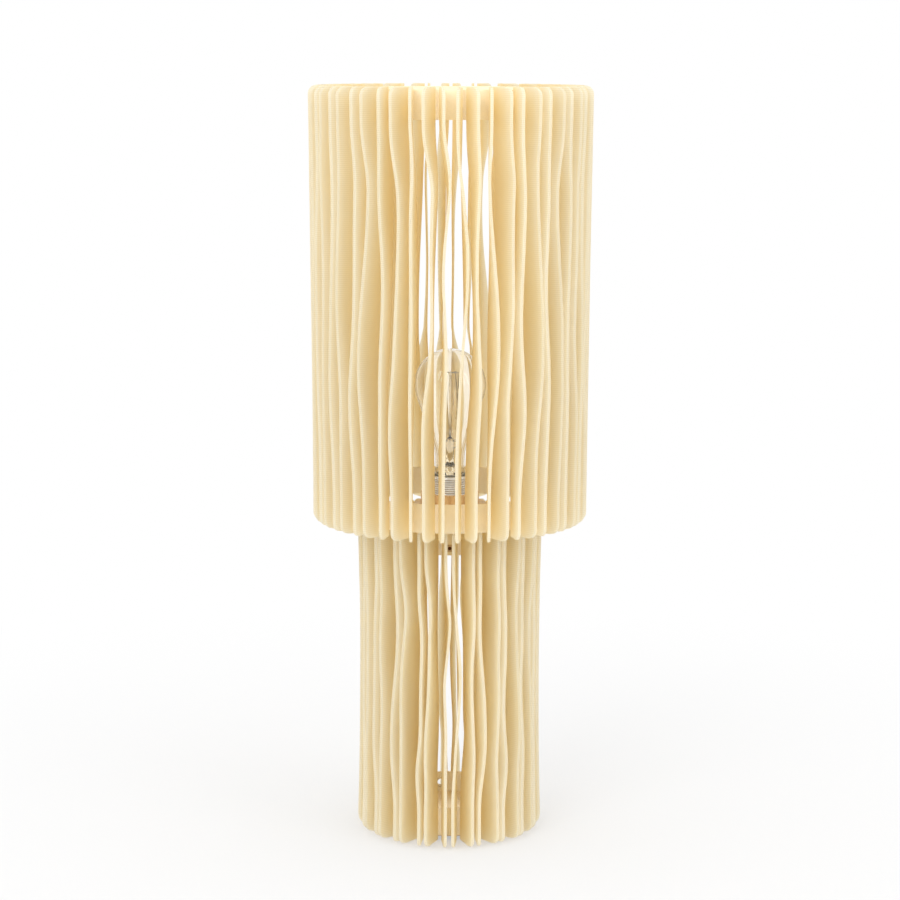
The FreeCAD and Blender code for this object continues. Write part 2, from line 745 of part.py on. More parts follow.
def bulb_inside():
    """The glass stem with its rod, the filament, and the wires that hold its runs."""
    foot_radius = bulb_neck_radius - bulb_glass_wall - stem_foot_gap
    stem = revolved([(0, glass_z),
                     (foot_radius, glass_z),
                     (stem_radius, glass_z + stem_flare_height),
                     (stem_radius, stem_top_z),
                     (stem_rod_radius, stem_top_z + stem_radius),
                     (stem_rod_radius, filament_top_z),
                     (0, filament_top_z)])
    high_z = filament_top_z - support_wire_radius
    inset = vec(0, 0, support_wire_radius + filament_radius + filament_end_gap)
    supports = []
    leads = []
    runs = []
    for i in range(filament_runs):
        azimuth = 360.0 * i / filament_runs
        low = polar(filament_bottom_radius, azimuth, stem_top_z)
        high = polar(filament_top_radius, azimuth, high_z)
        runs.append(rod(filament_radius, low + inset, high - inset))
        supports.append(rod(support_wire_radius, polar(stem_rod_radius, azimuth, high_z),
                            polar(filament_top_radius + support_wire_overhang, azimuth, high_z)))
        if i in (0, filament_runs // 2):
            foot = polar(stem_radius + lead_wire_radius, azimuth, stem_top_z - lead_wire_rise)
            leads.append(rod(lead_wire_radius, foot, low))
        else:
            reach = filament_bottom_radius + support_wire_overhang
            supports.append(rod(support_wire_radius, polar(stem_radius, azimuth, low.z),
                                polar(reach, azimuth, low.z)))
    save("bulb_stem", stem)
    save("filament_supports", *supports)
    save("filament", *runs)
    save("lead_wires", *leads)


def bulb():
    bulb_cap()
    bulb_inside()
    save("bulb_glass", glass_solid(0.0).cut(glass_solid(bulb_glass_wall)))


def main():
    os.makedirs("parts", exist_ok=True)
    save_leaves("base_leaves", base_drum, base_pairs_per_node)
    save_leaves("shade_leaves", shade_drum, shade_pairs_per_node)
    lower_column()
    upper_column()
    shade_frame()
    nipple_set()
    holder_shells()
    holder_inside()
    shade_ring()
    bulb()


main()
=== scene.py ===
import math

import bmesh
import bpy
from bpy.props import FloatProperty, FloatVectorProperty, IntProperty, PointerProperty
from mathutils import Matrix, Vector


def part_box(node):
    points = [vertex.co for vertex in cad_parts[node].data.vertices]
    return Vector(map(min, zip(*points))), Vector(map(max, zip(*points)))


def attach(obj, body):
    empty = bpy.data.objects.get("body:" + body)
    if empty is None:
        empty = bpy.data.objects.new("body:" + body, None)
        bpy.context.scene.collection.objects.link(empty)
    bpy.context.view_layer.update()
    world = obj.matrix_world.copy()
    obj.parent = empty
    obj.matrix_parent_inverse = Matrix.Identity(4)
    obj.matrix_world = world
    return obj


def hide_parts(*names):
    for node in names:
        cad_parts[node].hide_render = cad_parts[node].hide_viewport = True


bl_info = {
    "name": "Pleated Paper Lamp",
    "version": (1, 0, 0),
    "blender": (4, 5, 0),
    "location": "3D View > Sidebar > Paper Lamp",
    "description": "Makes the leaves, fittings and finishes of a pleated paper table lamp",
    "category": "Add Mesh",
}

MM = 0.001
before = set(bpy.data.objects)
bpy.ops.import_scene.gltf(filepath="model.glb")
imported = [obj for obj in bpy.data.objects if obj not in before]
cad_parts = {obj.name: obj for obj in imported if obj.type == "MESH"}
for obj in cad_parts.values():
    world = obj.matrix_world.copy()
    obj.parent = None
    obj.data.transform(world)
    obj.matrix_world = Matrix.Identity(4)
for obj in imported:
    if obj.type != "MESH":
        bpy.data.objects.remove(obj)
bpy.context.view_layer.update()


# ---------------------------------------------------------------- node trees

def worked(operation, swapped=False):
    """A method that takes a Signal, and what it meets, through one Math node."""
    def method(self, *others):
        values = (*others, self) if swapped else (self, *others)
        return self.wiring.math(operation, *values)
    return method


class Signal:
    """A number in a node tree, so that a formula there reads as it does on paper."""

    def __init__(self, wiring, socket):
        self.wiring = wiring
        self.socket = socket

    __add__ = worked("ADD")
    __sub__ = worked("SUBTRACT")
    __rsub__ = worked("SUBTRACT", swapped=True)
    __mul__ = worked("MULTIPLY")
    __truediv__ = worked("DIVIDE")
    __rtruediv__ = worked("DIVIDE", swapped=True)
    least = worked("MINIMUM")
    most = worked("MAXIMUM")
    sin = worked("SINE")
    cos = worked("COSINE")
    root = worked("SQRT")
    fraction = worked("FRACT")
    floor = worked("FLOOR")

    def spread(self, low, high, new_low=0.0, new_high=1.0, kind="SMOOTHSTEP"):
        """The value mapped from one range to another, held at its ends."""
        node = self.wiring.node("ShaderNodeMapRange", interpolation_type=kind, clamp=True)
        values = (self, low, high, new_low, new_high)
        for name, value in zip(("Value", "From Min", "From Max", "To Min", "To Max"), values):
            self.wiring.feed(node.inputs[name], value)
        return Signal(self.wiring, node.outputs[0])


class Wiring:
    """Adds nodes to one tree and joins them."""

    def __init__(self, tree):
        self.tree = tree

    def node(self, kind, **settings):
        node = self.tree.nodes.new(kind)
        for name, value in settings.items():
            setattr(node, name, value)
        return node

    def feed(self, socket, value):
        """Link a socket to a Signal, or set it. A plain colour is set opaque."""
        if isinstance(value, Signal):
            value = value.socket
        if isinstance(value, bpy.types.NodeSocket):
            self.tree.links.new(value, socket)
        elif socket.type == "RGBA":
            socket.default_value = (*value[:3], 1.0)
        else:
            socket.default_value = value

    def make(self, kind, feeds=None, out=0, **settings):
        """A node with its inputs fed by name, as the Signal of one output."""
        node = self.node(kind, **settings)
        for name, value in (feeds or {}).items():
            self.feed(node.inputs[name], value)
        return Signal(self, node.outputs[out])

    def math(self, operation, *values):
        node = self.node("ShaderNodeMath", operation=operation)
        for socket, value in zip(node.inputs, values):
            self.feed(socket, value)
        return Signal(self, node.outputs[0])

    def mixed(self, share, first, second, blend="MIX"):
        """One colour over another by a share."""
        node = self.node("ShaderNodeMix", data_type="RGBA", blend_type=blend, clamp_result=False)
        self.feed(node.inputs[0], share)
        self.feed(node.inputs[6], first)
        self.feed(node.inputs[7], second)
        return Signal(self, node.outputs[2])


class ShapeTree(Wiring):
    """A Geometry Nodes tree with named inputs."""

    def __init__(self, name, inputs):
        super().__init__(bpy.data.node_groups.new(name, "GeometryNodeTree"))
        interface = self.tree.interface
        interface.new_socket("Geometry", in_out="INPUT", socket_type="NodeSocketGeometry")
        for label, kind in inputs:
            interface.new_socket(label, in_out="INPUT", socket_type="NodeSocket" + kind)
        interface.new_socket("Material", in_out="INPUT", socket_type="NodeSocketMaterial")
        interface.new_socket("Geometry", in_out="OUTPUT", socket_type="NodeSocketGeometry")
        self.group_in = self.node("NodeGroupInput")

    def given(self, label):
        return Signal(self, self.group_in.outputs[label])

    def store(self, geometry, label, value):
        return self.make("GeometryNodeStoreNamedAttribute",
                         {"Geometry": geometry, "Name": label, "Value": value},
                         data_type="FLOAT", domain="POINT")

    def stored(self, label):
        return self.make("GeometryNodeInputNamedAttribute", {"Name": label}, data_type="FLOAT")

    def index(self):
        return self.make("GeometryNodeInputIndex")

    def end(self, geometry):
        """Every tree ends in real geometry with its material."""
        real = self.make("GeometryNodeRealizeInstances", {"Geometry": geometry})
        dressed = self.make("GeometryNodeSetMaterial",
                            {"Geometry": real, "Material": self.given("Material")})
        self.feed(self.node("NodeGroupOutput").inputs[0], dressed)
        return self.tree


def grown(name, tree, values, material, start=None):
    """The plain mesh object that a tree makes from its inputs."""
    mesh = start or bpy.data.meshes.new(name + "_start")
    maker = bpy.data.objects.new(name + "_maker", mesh)
    bpy.context.scene.collection.objects.link(maker)
    modifier = maker.modifiers.new("Shape", "NODES")
    modifier.node_group = tree
    values = dict(values, Material=material)
    for item in tree.interface.items_tree:
        if item.in_out == "INPUT" and item.name in values:
            modifier[item.identifier] = values[item.name]
    bpy.context.view_layer.update()
    graph = bpy.context.evaluated_depsgraph_get()
    made = bpy.data.meshes.new_from_object(maker.evaluated_get(graph),
                                           preserve_all_data_layers=True, depsgraph=graph)
    made.name = name
    bpy.data.objects.remove(maker)
    return placed(name, made, material)


# ---------------------------------------------------------------- plain meshes

def placed(name, mesh, material=None, crease=40.0):
    """A piece of the lamp from a mesh: smooth but for its creases, with its faces outwards."""
    work = bmesh.new()
    work.from_mesh(mesh)
    if work.calc_volume(signed=True) < 0:
        bmesh.ops.reverse_faces(work, faces=work.faces)
    work.to_mesh(mesh)
    work.free()
    mesh.shade_smooth()
    mesh.set_sharp_from_angle(angle=math.radians(crease))
    if material is not None:
        mesh.materials.clear()
        mesh.materials.append(material)
    piece = bpy.data.objects.new(name, mesh)
    bpy.context.scene.collection.objects.link(piece)
    return piece


def lathed(profile, sides=96, closed=True):
    """A mesh turned about Z from (radius, height) points in metres."""
    work = bmesh.new()
    rings = []
    for step in range(sides):
        angle = 2 * math.pi * step / sides
        rings.append([work.verts.new((r * math.cos(angle), r * math.sin(angle), z))
                      for r, z in profile])
    last = len(profile) if closed else len(profile) - 1
    for step in range(sides):
        here, there = rings[step], rings[(step + 1) % sides]
        for i in range(last):
            j = (i + 1) % len(profile)
            work.faces.new((here[i], there[i], there[j], here[j]))
    bmesh.ops.remove_doubles(work, verts=work.verts, dist=1e-7)
    bmesh.ops.dissolve_degenerate(work, edges=work.edges, dist=1e-8)
    bmesh.ops.recalc_face_normals(work, faces=work.faces)
    mesh = bpy.data.meshes.new("turned")
    work.to_mesh(mesh)
    work.free()
    return mesh


def eased(points, ease, steps=3):
    """A closed profile with its corners rounded by about the same amount."""
    rounded = []
    count = len(points)
    for i in range(count):
        here = Vector(points[i])
        back = Vector(points[i - 1]) - here
        ahead = Vector(points[(i + 1) % count]) - here
        if here.x < 1e-9:
            rounded.append(tuple(here))
            continue
        reach = min(ease, back.length * 0.45, ahead.length * 0.45)
        start = here + back.normalized() * reach
        end = here + ahead.normalized() * reach
        for step in range(steps + 1):
            t = step / steps
            spot = start.lerp(here, t).lerp(here.lerp(end, t), t)
            rounded.append((spot.x, spot.y))
    return rounded


def joined(meshes):
    """One mesh of several."""
    work = bmesh.new()
    for mesh in meshes:
        work.from_mesh(mesh)
    whole = bpy.data.meshes.new("joined")
    work.to_mesh(whole)
    work.free()
    return whole


def wire_along(points, radius, sides=10, closed=False):
    """A round wire through points, as a mesh."""
    curve = bpy.data.curves.new("wire", "CURVE")
    curve.dimensions = "3D"
    curve.bevel_depth = radius
    curve.bevel_resolution = max(1, sides // 4)
    curve.use_fill_caps = not closed
    spline = curve.splines.new("POLY")
    spline.points.add(len(points) - 1)
    for point, spot in zip(spline.points, points):
        point.co = (*spot, 1.0)
    spline.use_cyclic_u = closed
    holder = bpy.data.objects.new("wire", curve)
    bpy.context.scene.collection.objects.link(holder)
    graph = bpy.context.evaluated_depsgraph_get()
    mesh = bpy.data.meshes.new_from_object(holder.evaluated_get(graph), depsgraph=graph)
    bpy.data.objects.remove(holder)
    return mesh


def stands_for(piece, body, slot, *nodes):
    """The piece moves with its body and takes the place of CAD nodes."""
    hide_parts(*nodes)
    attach(piece, body)
    return piece


def finish_node(name, material):
    """A CAD node that keeps its shape gets its finish."""
    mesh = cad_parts[name].data
    mesh.materials.clear()
    mesh.materials.append(material)


def polar(radius, degrees, height=0.0):
    angle = math.radians(degrees)
    return Vector((radius * math.cos(angle), radius * math.sin(angle), height))


# ---------------------------------------------------------------- finishes

PLY = 1.35 * MM                # one layer of the plywood
# warm tint of the bulb glass: partly its own, partly painted light from the lit paper seen through
# it
GLASS_TINT_AND_PAINTED_LIGHT = (1.0, 0.95, 0.85, 1.0)

def surface(name, **plain):
    """A material, its wiring, and its Principled node with its plain sockets set."""
    material = bpy.data.materials.new(name)
    material.use_nodes = True
    wiring = Wiring(material.node_tree)
    shader = material.node_tree.nodes["Principled BSDF"]
    for label, value in plain.items():
        shader.inputs[label.replace("_", " ")].default_value = value
    return material, wiring, shader


def place(wiring, scale=(1.0, 1.0, 1.0)):
    """The spot on the piece, in metres, stretched."""
    where = wiring.node("ShaderNodeTexCoord")
    mapping = wiring.node("ShaderNodeMapping")
    wiring.feed(mapping.inputs["Vector"], where.outputs["Object"])
    mapping.inputs["Scale"].default_value = scale
    return Signal(wiring, mapping.outputs[0])


def height_above_table(wiring):
    parts = wiring.node("ShaderNodeSeparateXYZ")
    wiring.feed(parts.inputs[0], wiring.node("ShaderNodeTexCoord").outputs["Object"])
    return Signal(wiring, parts.outputs["Z"])


def grain(wiring, size, detail=3.0, roughness=0.55, stretch=(1.0, 1.0, 1.0)):
    """Soft noise from 0 to 1 whose patches are about as large as size, in metres."""
    return wiring.make("ShaderNodeTexNoise",
                       {"Vector": place(wiring, stretch), "Scale": 1.0 / size,
                        "Detail": detail, "Roughness": roughness})


def bumped(wiring, shader, height, distance, strength=1.0):
    bump = wiring.make("ShaderNodeBump", {"Height": height, "Distance": distance,
                                          "Strength": strength})
    wiring.feed(shader.inputs["Normal"], bump)


def ramp(wiring, share, stops):
    node = wiring.node("ShaderNodeValToRGB")
    elements = node.color_ramp.elements
    while len(elements) < len(stops):
        elements.new(0.5)
    for element, (position, colour) in zip(elements, stops):
        element.position = position
        element.color = (*colour, 1.0)
    wiring.feed(node.inputs[0], share)
    return Signal(wiring, node.outputs[0])


def toned(colour, factor):
    return tuple(min(1.0, c * factor) for c in colour)


def ribbed_paper(name, colours):
    """Thin ribbed paper, lit through. Its colour by depth is painted light: a painted highlight
    pale at the outer fold with a painted shadow line just inside it, and painted shade warmer down
    between the leaves.
    """
    material, w, shader = surface(name, Roughness=0.72, Specular_IOR_Level=0.28)
    depth = w.make("ShaderNodeAttribute", attribute_name="depth", out=2)
    leaf = w.make("ShaderNodeAttribute", attribute_name="leaf", out=2)
    # painted light by depth: warmer painted shade deep between the leaves, paler outwards, a
    # painted shadow line at 0.90 beside the fold, and a painted highlight at the fold
    colour = ramp(w, depth, [(0.0, colours.paper_deep_painted_shade), (0.5, colours.paper_face),
                             (0.84, colours.paper_face_outer_painted_light), (0.90, colours.paper_face),
                             (0.95, colours.paper_fold_painted_highlight)])
    cloud = grain(w, 35 * MM, 2.0)
    colour = w.mixed(cloud.spread(0.3, 0.75, 0.0, 0.3), colour, colours.paper_shade,
                     "MULTIPLY")
    streak = grain(w, 5 * MM, 2.0, 0.5, (1.0, 1.0, 0.04))
    colour = w.mixed(streak.spread(0.35, 0.7, 0.0, 0.35), colour, colours.paper_shade,
                     "MULTIPLY")
    own = (leaf * GOLDEN).fraction()
    colour = w.mixed(own * 0.25, colour, colours.paper_shade, "MULTIPLY")
    rib = (height_above_table(w) * (2 * math.pi / colours.rib_pitch)).sin()
    ribbing = rib.spread(-0.2, 1.0, 0.0, 1.0) * depth.spread(0.3, 0.85, 0.08, 0.5)
    colour = w.mixed(ribbing, colour, colours.paper_rib, "MULTIPLY")
    w.feed(shader.inputs["Base Color"], colour)
    fibre = grain(w, 0.6 * MM, 4.0, 0.6, (1.0, 1.0, 0.4))
    bumped(w, shader, rib * 0.5 + fibre * 0.6, 0.10 * MM, 0.5)
    w.feed(shader.inputs["Roughness"], fibre.spread(0.2, 0.8, 0.64, 0.80))
    through = w.make("ShaderNodeBsdfTranslucent", {"Color": colour})
    both = w.make("ShaderNodeMixShader", {0: colours.paper_translucency, 1: shader.outputs[0],
                                          2: through})
    w.feed(material.node_tree.nodes["Material Output"].inputs["Surface"], both)
    return material


def board(colours):
    material, w, shader = surface("cream_board", Roughness=0.8, Specular_IOR_Level=0.25)
    fibre = grain(w, 1.2 * MM, 4.0, 0.6, (1.0, 1.0, 3.0))
    cloud = grain(w, 18 * MM, 2.0)
    colour = w.mixed(cloud.spread(0.3, 0.7, 0.0, 0.5), colours.board,
                     toned(colours.board, 0.88))
    colour = w.mixed(fibre.spread(0.45, 0.75, 0.0, 0.25), colour,
                     toned(colours.board, 0.7))
    w.feed(shader.inputs["Base Color"], colour)
    bumped(w, shader, fibre, 0.08 * MM, 0.6)
    return material


def plywood(colours):
    """Sealed birch: long grain on the faces, glue lines on the edges."""
    material, w, shader = surface("birch_plywood", Roughness=0.45, Specular_IOR_Level=0.4,
                                  Coat_Weight=0.12, Coat_Roughness=0.35)
    long_grain = grain(w, 3.2 * MM, 5.0, 0.6, (0.08, 1.0, 1.0))
    pore = grain(w, 0.7 * MM, 2.0, 0.5, (0.05, 1.0, 1.0))
    colour = w.mixed(long_grain.spread(0.3, 0.72), colours.birch,
                     toned(colours.birch, 0.74))
    colour = w.mixed(pore.spread(0.58, 0.75, 0.0, 0.35), colour, toned(colours.birch, 0.5))
    ply = (height_above_table(w) * (1.0 / PLY)).fraction()
    glue = ply.spread(0.0, 0.16, 1.0, 0.0)
    normal = w.node("ShaderNodeSeparateXYZ")
    w.feed(normal.inputs[0], w.node("ShaderNodeNewGeometry").outputs["Normal"])
    upright = w.math("ABSOLUTE", Signal(w, normal.outputs["Z"])).spread(0.3, 0.6, 1.0, 0.0)
    colour = w.mixed(glue * upright * 0.7, colour, toned(colours.birch, 0.3))
    w.feed(shader.inputs["Base Color"], colour)
    w.feed(shader.inputs["Roughness"], long_grain.spread(0.3, 0.7, 0.40, 0.55))
    bumped(w, shader, long_grain * 0.6 + pore * 0.4, 0.06 * MM, 0.5)
    return material


def plated(name, colour, roughness=0.3, wear=0.35):
    """Plated or bare metal with fine turning marks, handling haze and a few darker spots."""
    material, w, shader = surface(name, Metallic=1.0)
    marks = grain(w, 0.35 * MM, 2.0, 0.5, (1.0, 1.0, 6.0))
    haze = grain(w, 7 * MM, 3.0)
    colour_in = w.mixed(haze.spread(0.35, 0.75, 0.0, wear), colour,
                        toned(colour, 0.62))
    w.feed(shader.inputs["Base Color"], colour_in)
    w.feed(shader.inputs["Roughness"],
           haze.spread(0.3, 0.7, roughness * 0.85, roughness * 1.3))
    bumped(w, shader, marks, 0.02 * MM, 0.5)
    return material


def moulded(name, colour, roughness=0.45, texture=0.5, speckle=0.08, coat=0.0):
    """Moulded plastic, rubber or glazed ware, with a fine skin."""
    material, w, shader = surface(name, Roughness=roughness, Specular_IOR_Level=0.45,
                                  Coat_Weight=coat, Coat_Roughness=0.12)
    skin = grain(w, 0.5 * MM, 3.0)
    cloud = grain(w, 9 * MM, 2.0)
    colour_in = w.mixed(cloud.spread(0.35, 0.7, 0.0, 1.0), colour,
                        toned(colour, 1.0 - 2.5 * speckle))
    w.feed(shader.inputs["Base Color"], colour_in)
    w.feed(shader.inputs["Roughness"], skin.spread(0.3, 0.7, roughness * 0.9, roughness * 1.12))
    bumped(w, shader, skin, 0.03 * MM, texture)
    return material


def powder_coat(colours):
    material, w, shader = surface("cream_powder_coat", Roughness=0.55, Specular_IOR_Level=0.5)
    peel = grain(w, 0.9 * MM, 2.0, 0.5)
    cloud = grain(w, 22 * MM, 3.0)
    colour = w.mixed(cloud.spread(0.4, 0.8, 0.0, 0.6), colours.plate,
                     toned(colours.plate, 0.86))
    w.feed(shader.inputs["Base Color"], colour)
    w.feed(shader.inputs["Roughness"], cloud.spread(0.3, 0.7, 0.48, 0.62))
    bumped(w, shader, peel, 0.08 * MM, 0.7)
    return material


def clear_glass():
    """Blown bulb glass, a little uneven in its thickness, with a light warm tint that is partly
    the glass's own and partly painted light: the warm glow of the lit paper seen through it.
    """
    material, w, shader = surface("bulb_glass", Roughness=0.0, IOR=1.48,
                                  Transmission_Weight=1.0, Base_Color=GLASS_TINT_AND_PAINTED_LIGHT)
    bumped(w, shader, grain(w, 14 * MM, 2.0, 0.4), 0.12 * MM, 0.25)
    return material


# ---------------------------------------------------------------- sizes and colours

def length(name, description, millimetres):
    return FloatProperty(name=name, description=description, default=millimetres * MM,
                         subtype="DISTANCE", unit="LENGTH", precision=5)


def colour(name, description, default):
    return FloatVectorProperty(name=name, description=description, default=default, size=3,
                               subtype="COLOR", min=0.0, max=1.0)


class PleatSizes(bpy.types.PropertyGroup):
    """What the leaves of the column and of the shade have in common."""

    inner_thickness: length("Inner thickness", "A leaf's thickness at its glued edge", 1.4)
    hem_thickness: length("Hem thickness", "A leaf's thickness at its outer fold", 2.4)
    corner_radius: length("Corner radius", "Rounding of a leaf's outer corners", 8.0)
    glue_gap: length("Glue gap", "From a hoop to a leaf's inner edge", 0.3)
    inner_gap: length("Inner gap", "Between inner edges of neighbouring pairs at a hoop", 3.0)
    hoop_height: length("Hoop height", "How far up a hoop holds a leaf", 25.0)
    free_share: FloatProperty(name="Free share", default=0.4, min=0.0, max=1.0,
                              description="How far a free leaf turns out of its pair's lean")
    bow: length("Bow", "How far a leaf's face bellies sideways", 0.7)
    ripple: length("Ripple", "Small unevenness of the outer fold", 0.35)
    points_round: IntProperty(name="Points round", default=18, min=8,
                              description="Points round one leaf's cross-section")


class ColumnSizes(bpy.types.PropertyGroup):
    """The pleated column."""

    pairs: IntProperty(name="Pairs", description="Pairs of leaves", default=21, min=3)
    bottom: length("Bottom", "The leaves' lower ends, above the table", 1.5)
    height: length("Height", "A leaf's height", 287.0)
    radius_bottom: length("Radius, bottom", "Out to the folds, at the lower ends", 83.5)
    radius_waist: length("Radius, waist", "Out to the folds, at half height", 81.0)
    radius_top: length("Radius, top", "Out to the folds, at the upper ends", 82.8)
    hoop_radius: length("Hoop radius", "Outside of the hoops", 55.5)
    inset_low: length("Lower inset", "From the leaves' lower ends to the lower hoop", 4.0)
    inset_top: length("Upper inset", "From the upper hoop to the leaves' upper ends", 2.2)
    outer_gap: length("Outer gap", "Between the folds of a pair, at the hoops", 6.0)
    wander_outer: length("Fold wander", "The furthest that a fold strays by itself", 2.7)
    wander_inner: length("Inner wander", "The furthest that an inner edge strays", 1.3)
    drift_outer: length("Fold drift", "The furthest that it strays with its neighbours", 3.0)
    drift_inner: length("Inner drift", "The same for an inner edge", 1.5)
    wave: length("Wave", "The shortest wave of an edge", 185.0)
    release_low: length("Release, low", "From the lower hoop to where a leaf is free", 60.0)
    release_top: length("Release, top", "The same below the upper hoop", 60.0)
    back_lean: length("Back lean", "How far the folds stray to the sides, low at the back", 0.0)
    lean_top: length("Lean top", "How far up the back leaves lean", 160.0)
    wide_pair: IntProperty(name="Cord pair", default=11,
                           description="The pair that the cord comes out through")
    wide_gap: length("Cord pair's gap", "Between the folds of the cord's pair", 10.0)
    rows: IntProperty(name="Rows", description="Cross-sections along a leaf", default=62, min=8)


class ShadeSizes(bpy.types.PropertyGroup):
    """The pleated shade."""

    pairs: IntProperty(name="Pairs", description="Pairs of leaves", default=27, min=3)
    bottom: length("Bottom", "The leaves' lower ends, above the table", 284.5)
    height: length("Height", "A leaf's height", 384.0)
    radius_bottom: length("Radius, bottom", "Out to the folds, at the lower ends", 122.5)
    radius_waist: length("Radius, waist", "Out to the folds, at half height", 123.2)
    radius_top: length("Radius, top", "Out to the folds, at the upper ends", 125.0)
    hoop_radius: length("Hoop radius", "Outside of the hoops", 97.0)
    inset_low: length("Lower inset", "From the leaves' lower ends to the lower hoop", 4.8)
    inset_top: length("Upper inset", "From the upper hoop to the leaves' upper ends", 2.4)
    outer_gap: length("Outer gap", "Between the folds of a pair, at the hoops", 11.0)
    wander_outer: length("Fold wander", "The furthest that a fold strays by itself", 4.3)
    wander_inner: length("Inner wander", "The furthest that an inner edge strays", 1.8)
    drift_outer: length("Fold drift", "The furthest that it strays with its neighbours", 4.5)
    drift_inner: length("Inner drift", "The same for an inner edge", 3.0)
    wave: length("Wave", "The shortest wave of an edge", 290.0)
    release_low: length("Release, low", "From the lower hoop to where a leaf is free", 120.0)
    release_top: length("Release, top", "The same below the upper hoop", 60.0)
    back_lean: length("Back lean", "How far the folds stray to the sides, low at the back", 5.5)
    lean_top: length("Lean top", "How far up the back leaves lean", 160.0)
    wide_pair: IntProperty(name="Wide pair", default=-1,
                           description="The pair that stands wider, or -1 for none")
    wide_gap: length("Wide gap", "Between the folds of the wide pair, if there is one", 11.0)
    rows: IntProperty(name="Rows", description="Cross-sections along a leaf", default=74, min=8)


class FinishColours(bpy.types.PropertyGroup):
    """Colours and marks of the finishes."""

    # The paper's colours by depth are painted light: a painted highlight at the fold, paler beside
    # it, a painted shadow line where the face colour comes back, and warmer painted shade deep
    # between the leaves.
    paper_fold_painted_highlight: colour("Paper, fold", "At the outer fold", (0.995, 0.97, 0.89))
    paper_face_outer_painted_light: colour("Paper, outer face", "Beside the fold", (0.99, 0.945, 0.83))
    paper_face: colour("Paper, face", "Half way in", (0.99, 0.935, 0.79))
    paper_deep_painted_shade: colour("Paper, deep", "At the inner edge", (0.99, 0.91, 0.72))
    paper_shade: colour("Paper, clouding", "Slightly darker patches", (0.99, 0.98, 0.95))
    paper_rib: colour("Paper, rib", "Between the ribs", (0.88, 0.875, 0.82))
    rib_pitch: length("Rib pitch", "From one rib of the paper to the next", 1.7)
    paper_translucency: FloatProperty(name="Paper translucency", default=0.92, min=0.0, max=1.0,
                                      description="Share of light that goes through")
    board: colour("Hoop board", "The hoops", (0.95, 0.86, 0.66))
    birch: colour("Birch", "The crosspiece and the carrier", (0.74, 0.55, 0.33))
    plate: colour("Weight plate", "Powder coat", (0.80, 0.66, 0.44))
    steel: colour("Zinc-plated steel", "Screws, nut, washers, nipple", (0.62, 0.61, 0.58))
    nickel: colour("Nickel", "Lampholder shells", (0.76, 0.75, 0.72))
    brass: colour("Brass", "Screw shell and contacts", (0.78, 0.56, 0.24))
    bronze: colour("Bronzed screw", "Tenon screws", (0.12, 0.045, 0.022))
    amber: colour("Shade ring", "Amber plastic", (0.72, 0.46, 0.20))
    porcelain: colour("Insulator", "Glazed insert", (0.86, 0.84, 0.78))
    grommet: colour("Grommet", "Cream rubber", (0.82, 0.74, 0.58))
    black: colour("Black parts", "Rubber and the bulb's insulator", (0.016, 0.016, 0.016))


class StageSettings(bpy.types.PropertyGroup):
    """The camera and the light."""

    camera_distance: length("Camera distance", "In front of the lamp's axis", 2100.0)
    camera_height: length("Camera height", "Above the table", 700.2)
    camera_pitch: FloatProperty(name="Camera pitch", description="Down from level",
                                default=math.radians(9.58), subtype="ANGLE", unit="ROTATION")
    camera_roll: FloatProperty(name="Camera roll", description="Clockwise",
                               default=math.radians(0.15), subtype="ANGLE", unit="ROTATION")
    focal_share: FloatProperty(name="Focal length", default=2381.0 / 900.0,
                               description="As a share of the picture's width")
    ambient: FloatProperty(name="Ambient", description="Strength of the light all round",
                           default=1.3, min=0.0)
    key_power: FloatProperty(name="Key light", description="Power of the large lamp", default=31.0,
                             min=0.0, unit="POWER")
    fill_power: FloatProperty(name="Fill light", description="Power of the small lamp",
                              default=11.0, min=0.0, unit="POWER")


# ---------------------------------------------------------------- paper leaves

# steps that spread the leaves' waves evenly, never in time
GOLDEN = 0.618034
PLASTIC = 0.754878
SILVER = 0.414214
BRONZE = 0.302776
FRONT = -90.0                  # degrees, the side that the picture shows
WAVE_SPREAD = 0.6              # how much longer the longest wave is
RIPPLE_LENGTH = 0.47           # of the wave that it lies on
RIPPLE_SHARE = 0.26
DRIFT_LENGTH = 1.9             # of a leaf's height
DRIFT_LAG = 0.1
DRIFT_TURNS = 2
LEAN_RISE = 35 * MM            # over which the lean comes and goes
LEAN_INNER_SHARE = 0.15
ROW_CROWDING = 0.9             # how much closer the rows lie at a leaf's ends

# the tree's inputs, each filled from the property of the same name
LEAF_INPUTS = ("Pairs", "Bottom", "Height", "Radius bottom", "Radius waist", "Radius top",
               "Inner radius", "Inset low", "Inset top", "Outer gap", "Wander outer",
               "Wander inner", "Drift outer", "Drift inner", "Wave", "Wide pair", "Wide gap",
               "Inner gap", "Inner thickness", "Hem thickness", "Corner radius", "Hoop height",
               "Release low", "Release top", "Free share", "Back lean", "Lean top", "Bow",
               "Ripple", "Rows", "Points round")
WHOLE_NUMBERS = ("Pairs", "Wide pair", "Rows", "Points round")


def wave(height, leaf, offset, shortest, spread_step, phase_step):
    length = ((leaf * spread_step + offset).fraction() * WAVE_SPREAD + 1.0) * shortest
    return ((height / length + leaf * phase_step + offset) * (2 * math.pi)).sin()


def wander(height, leaf, offset, shortest):
    """A leaf edge's own sideways stray, from -1 to 1: a wave with a ripple on it."""
    slow = wave(height, leaf, offset, shortest, SILVER, GOLDEN)
    quick = wave(height, leaf, offset, shortest * RIPPLE_LENGTH, BRONZE, PLASTIC)
    return slow * (1.0 - RIPPLE_SHARE) + quick * RIPPLE_SHARE


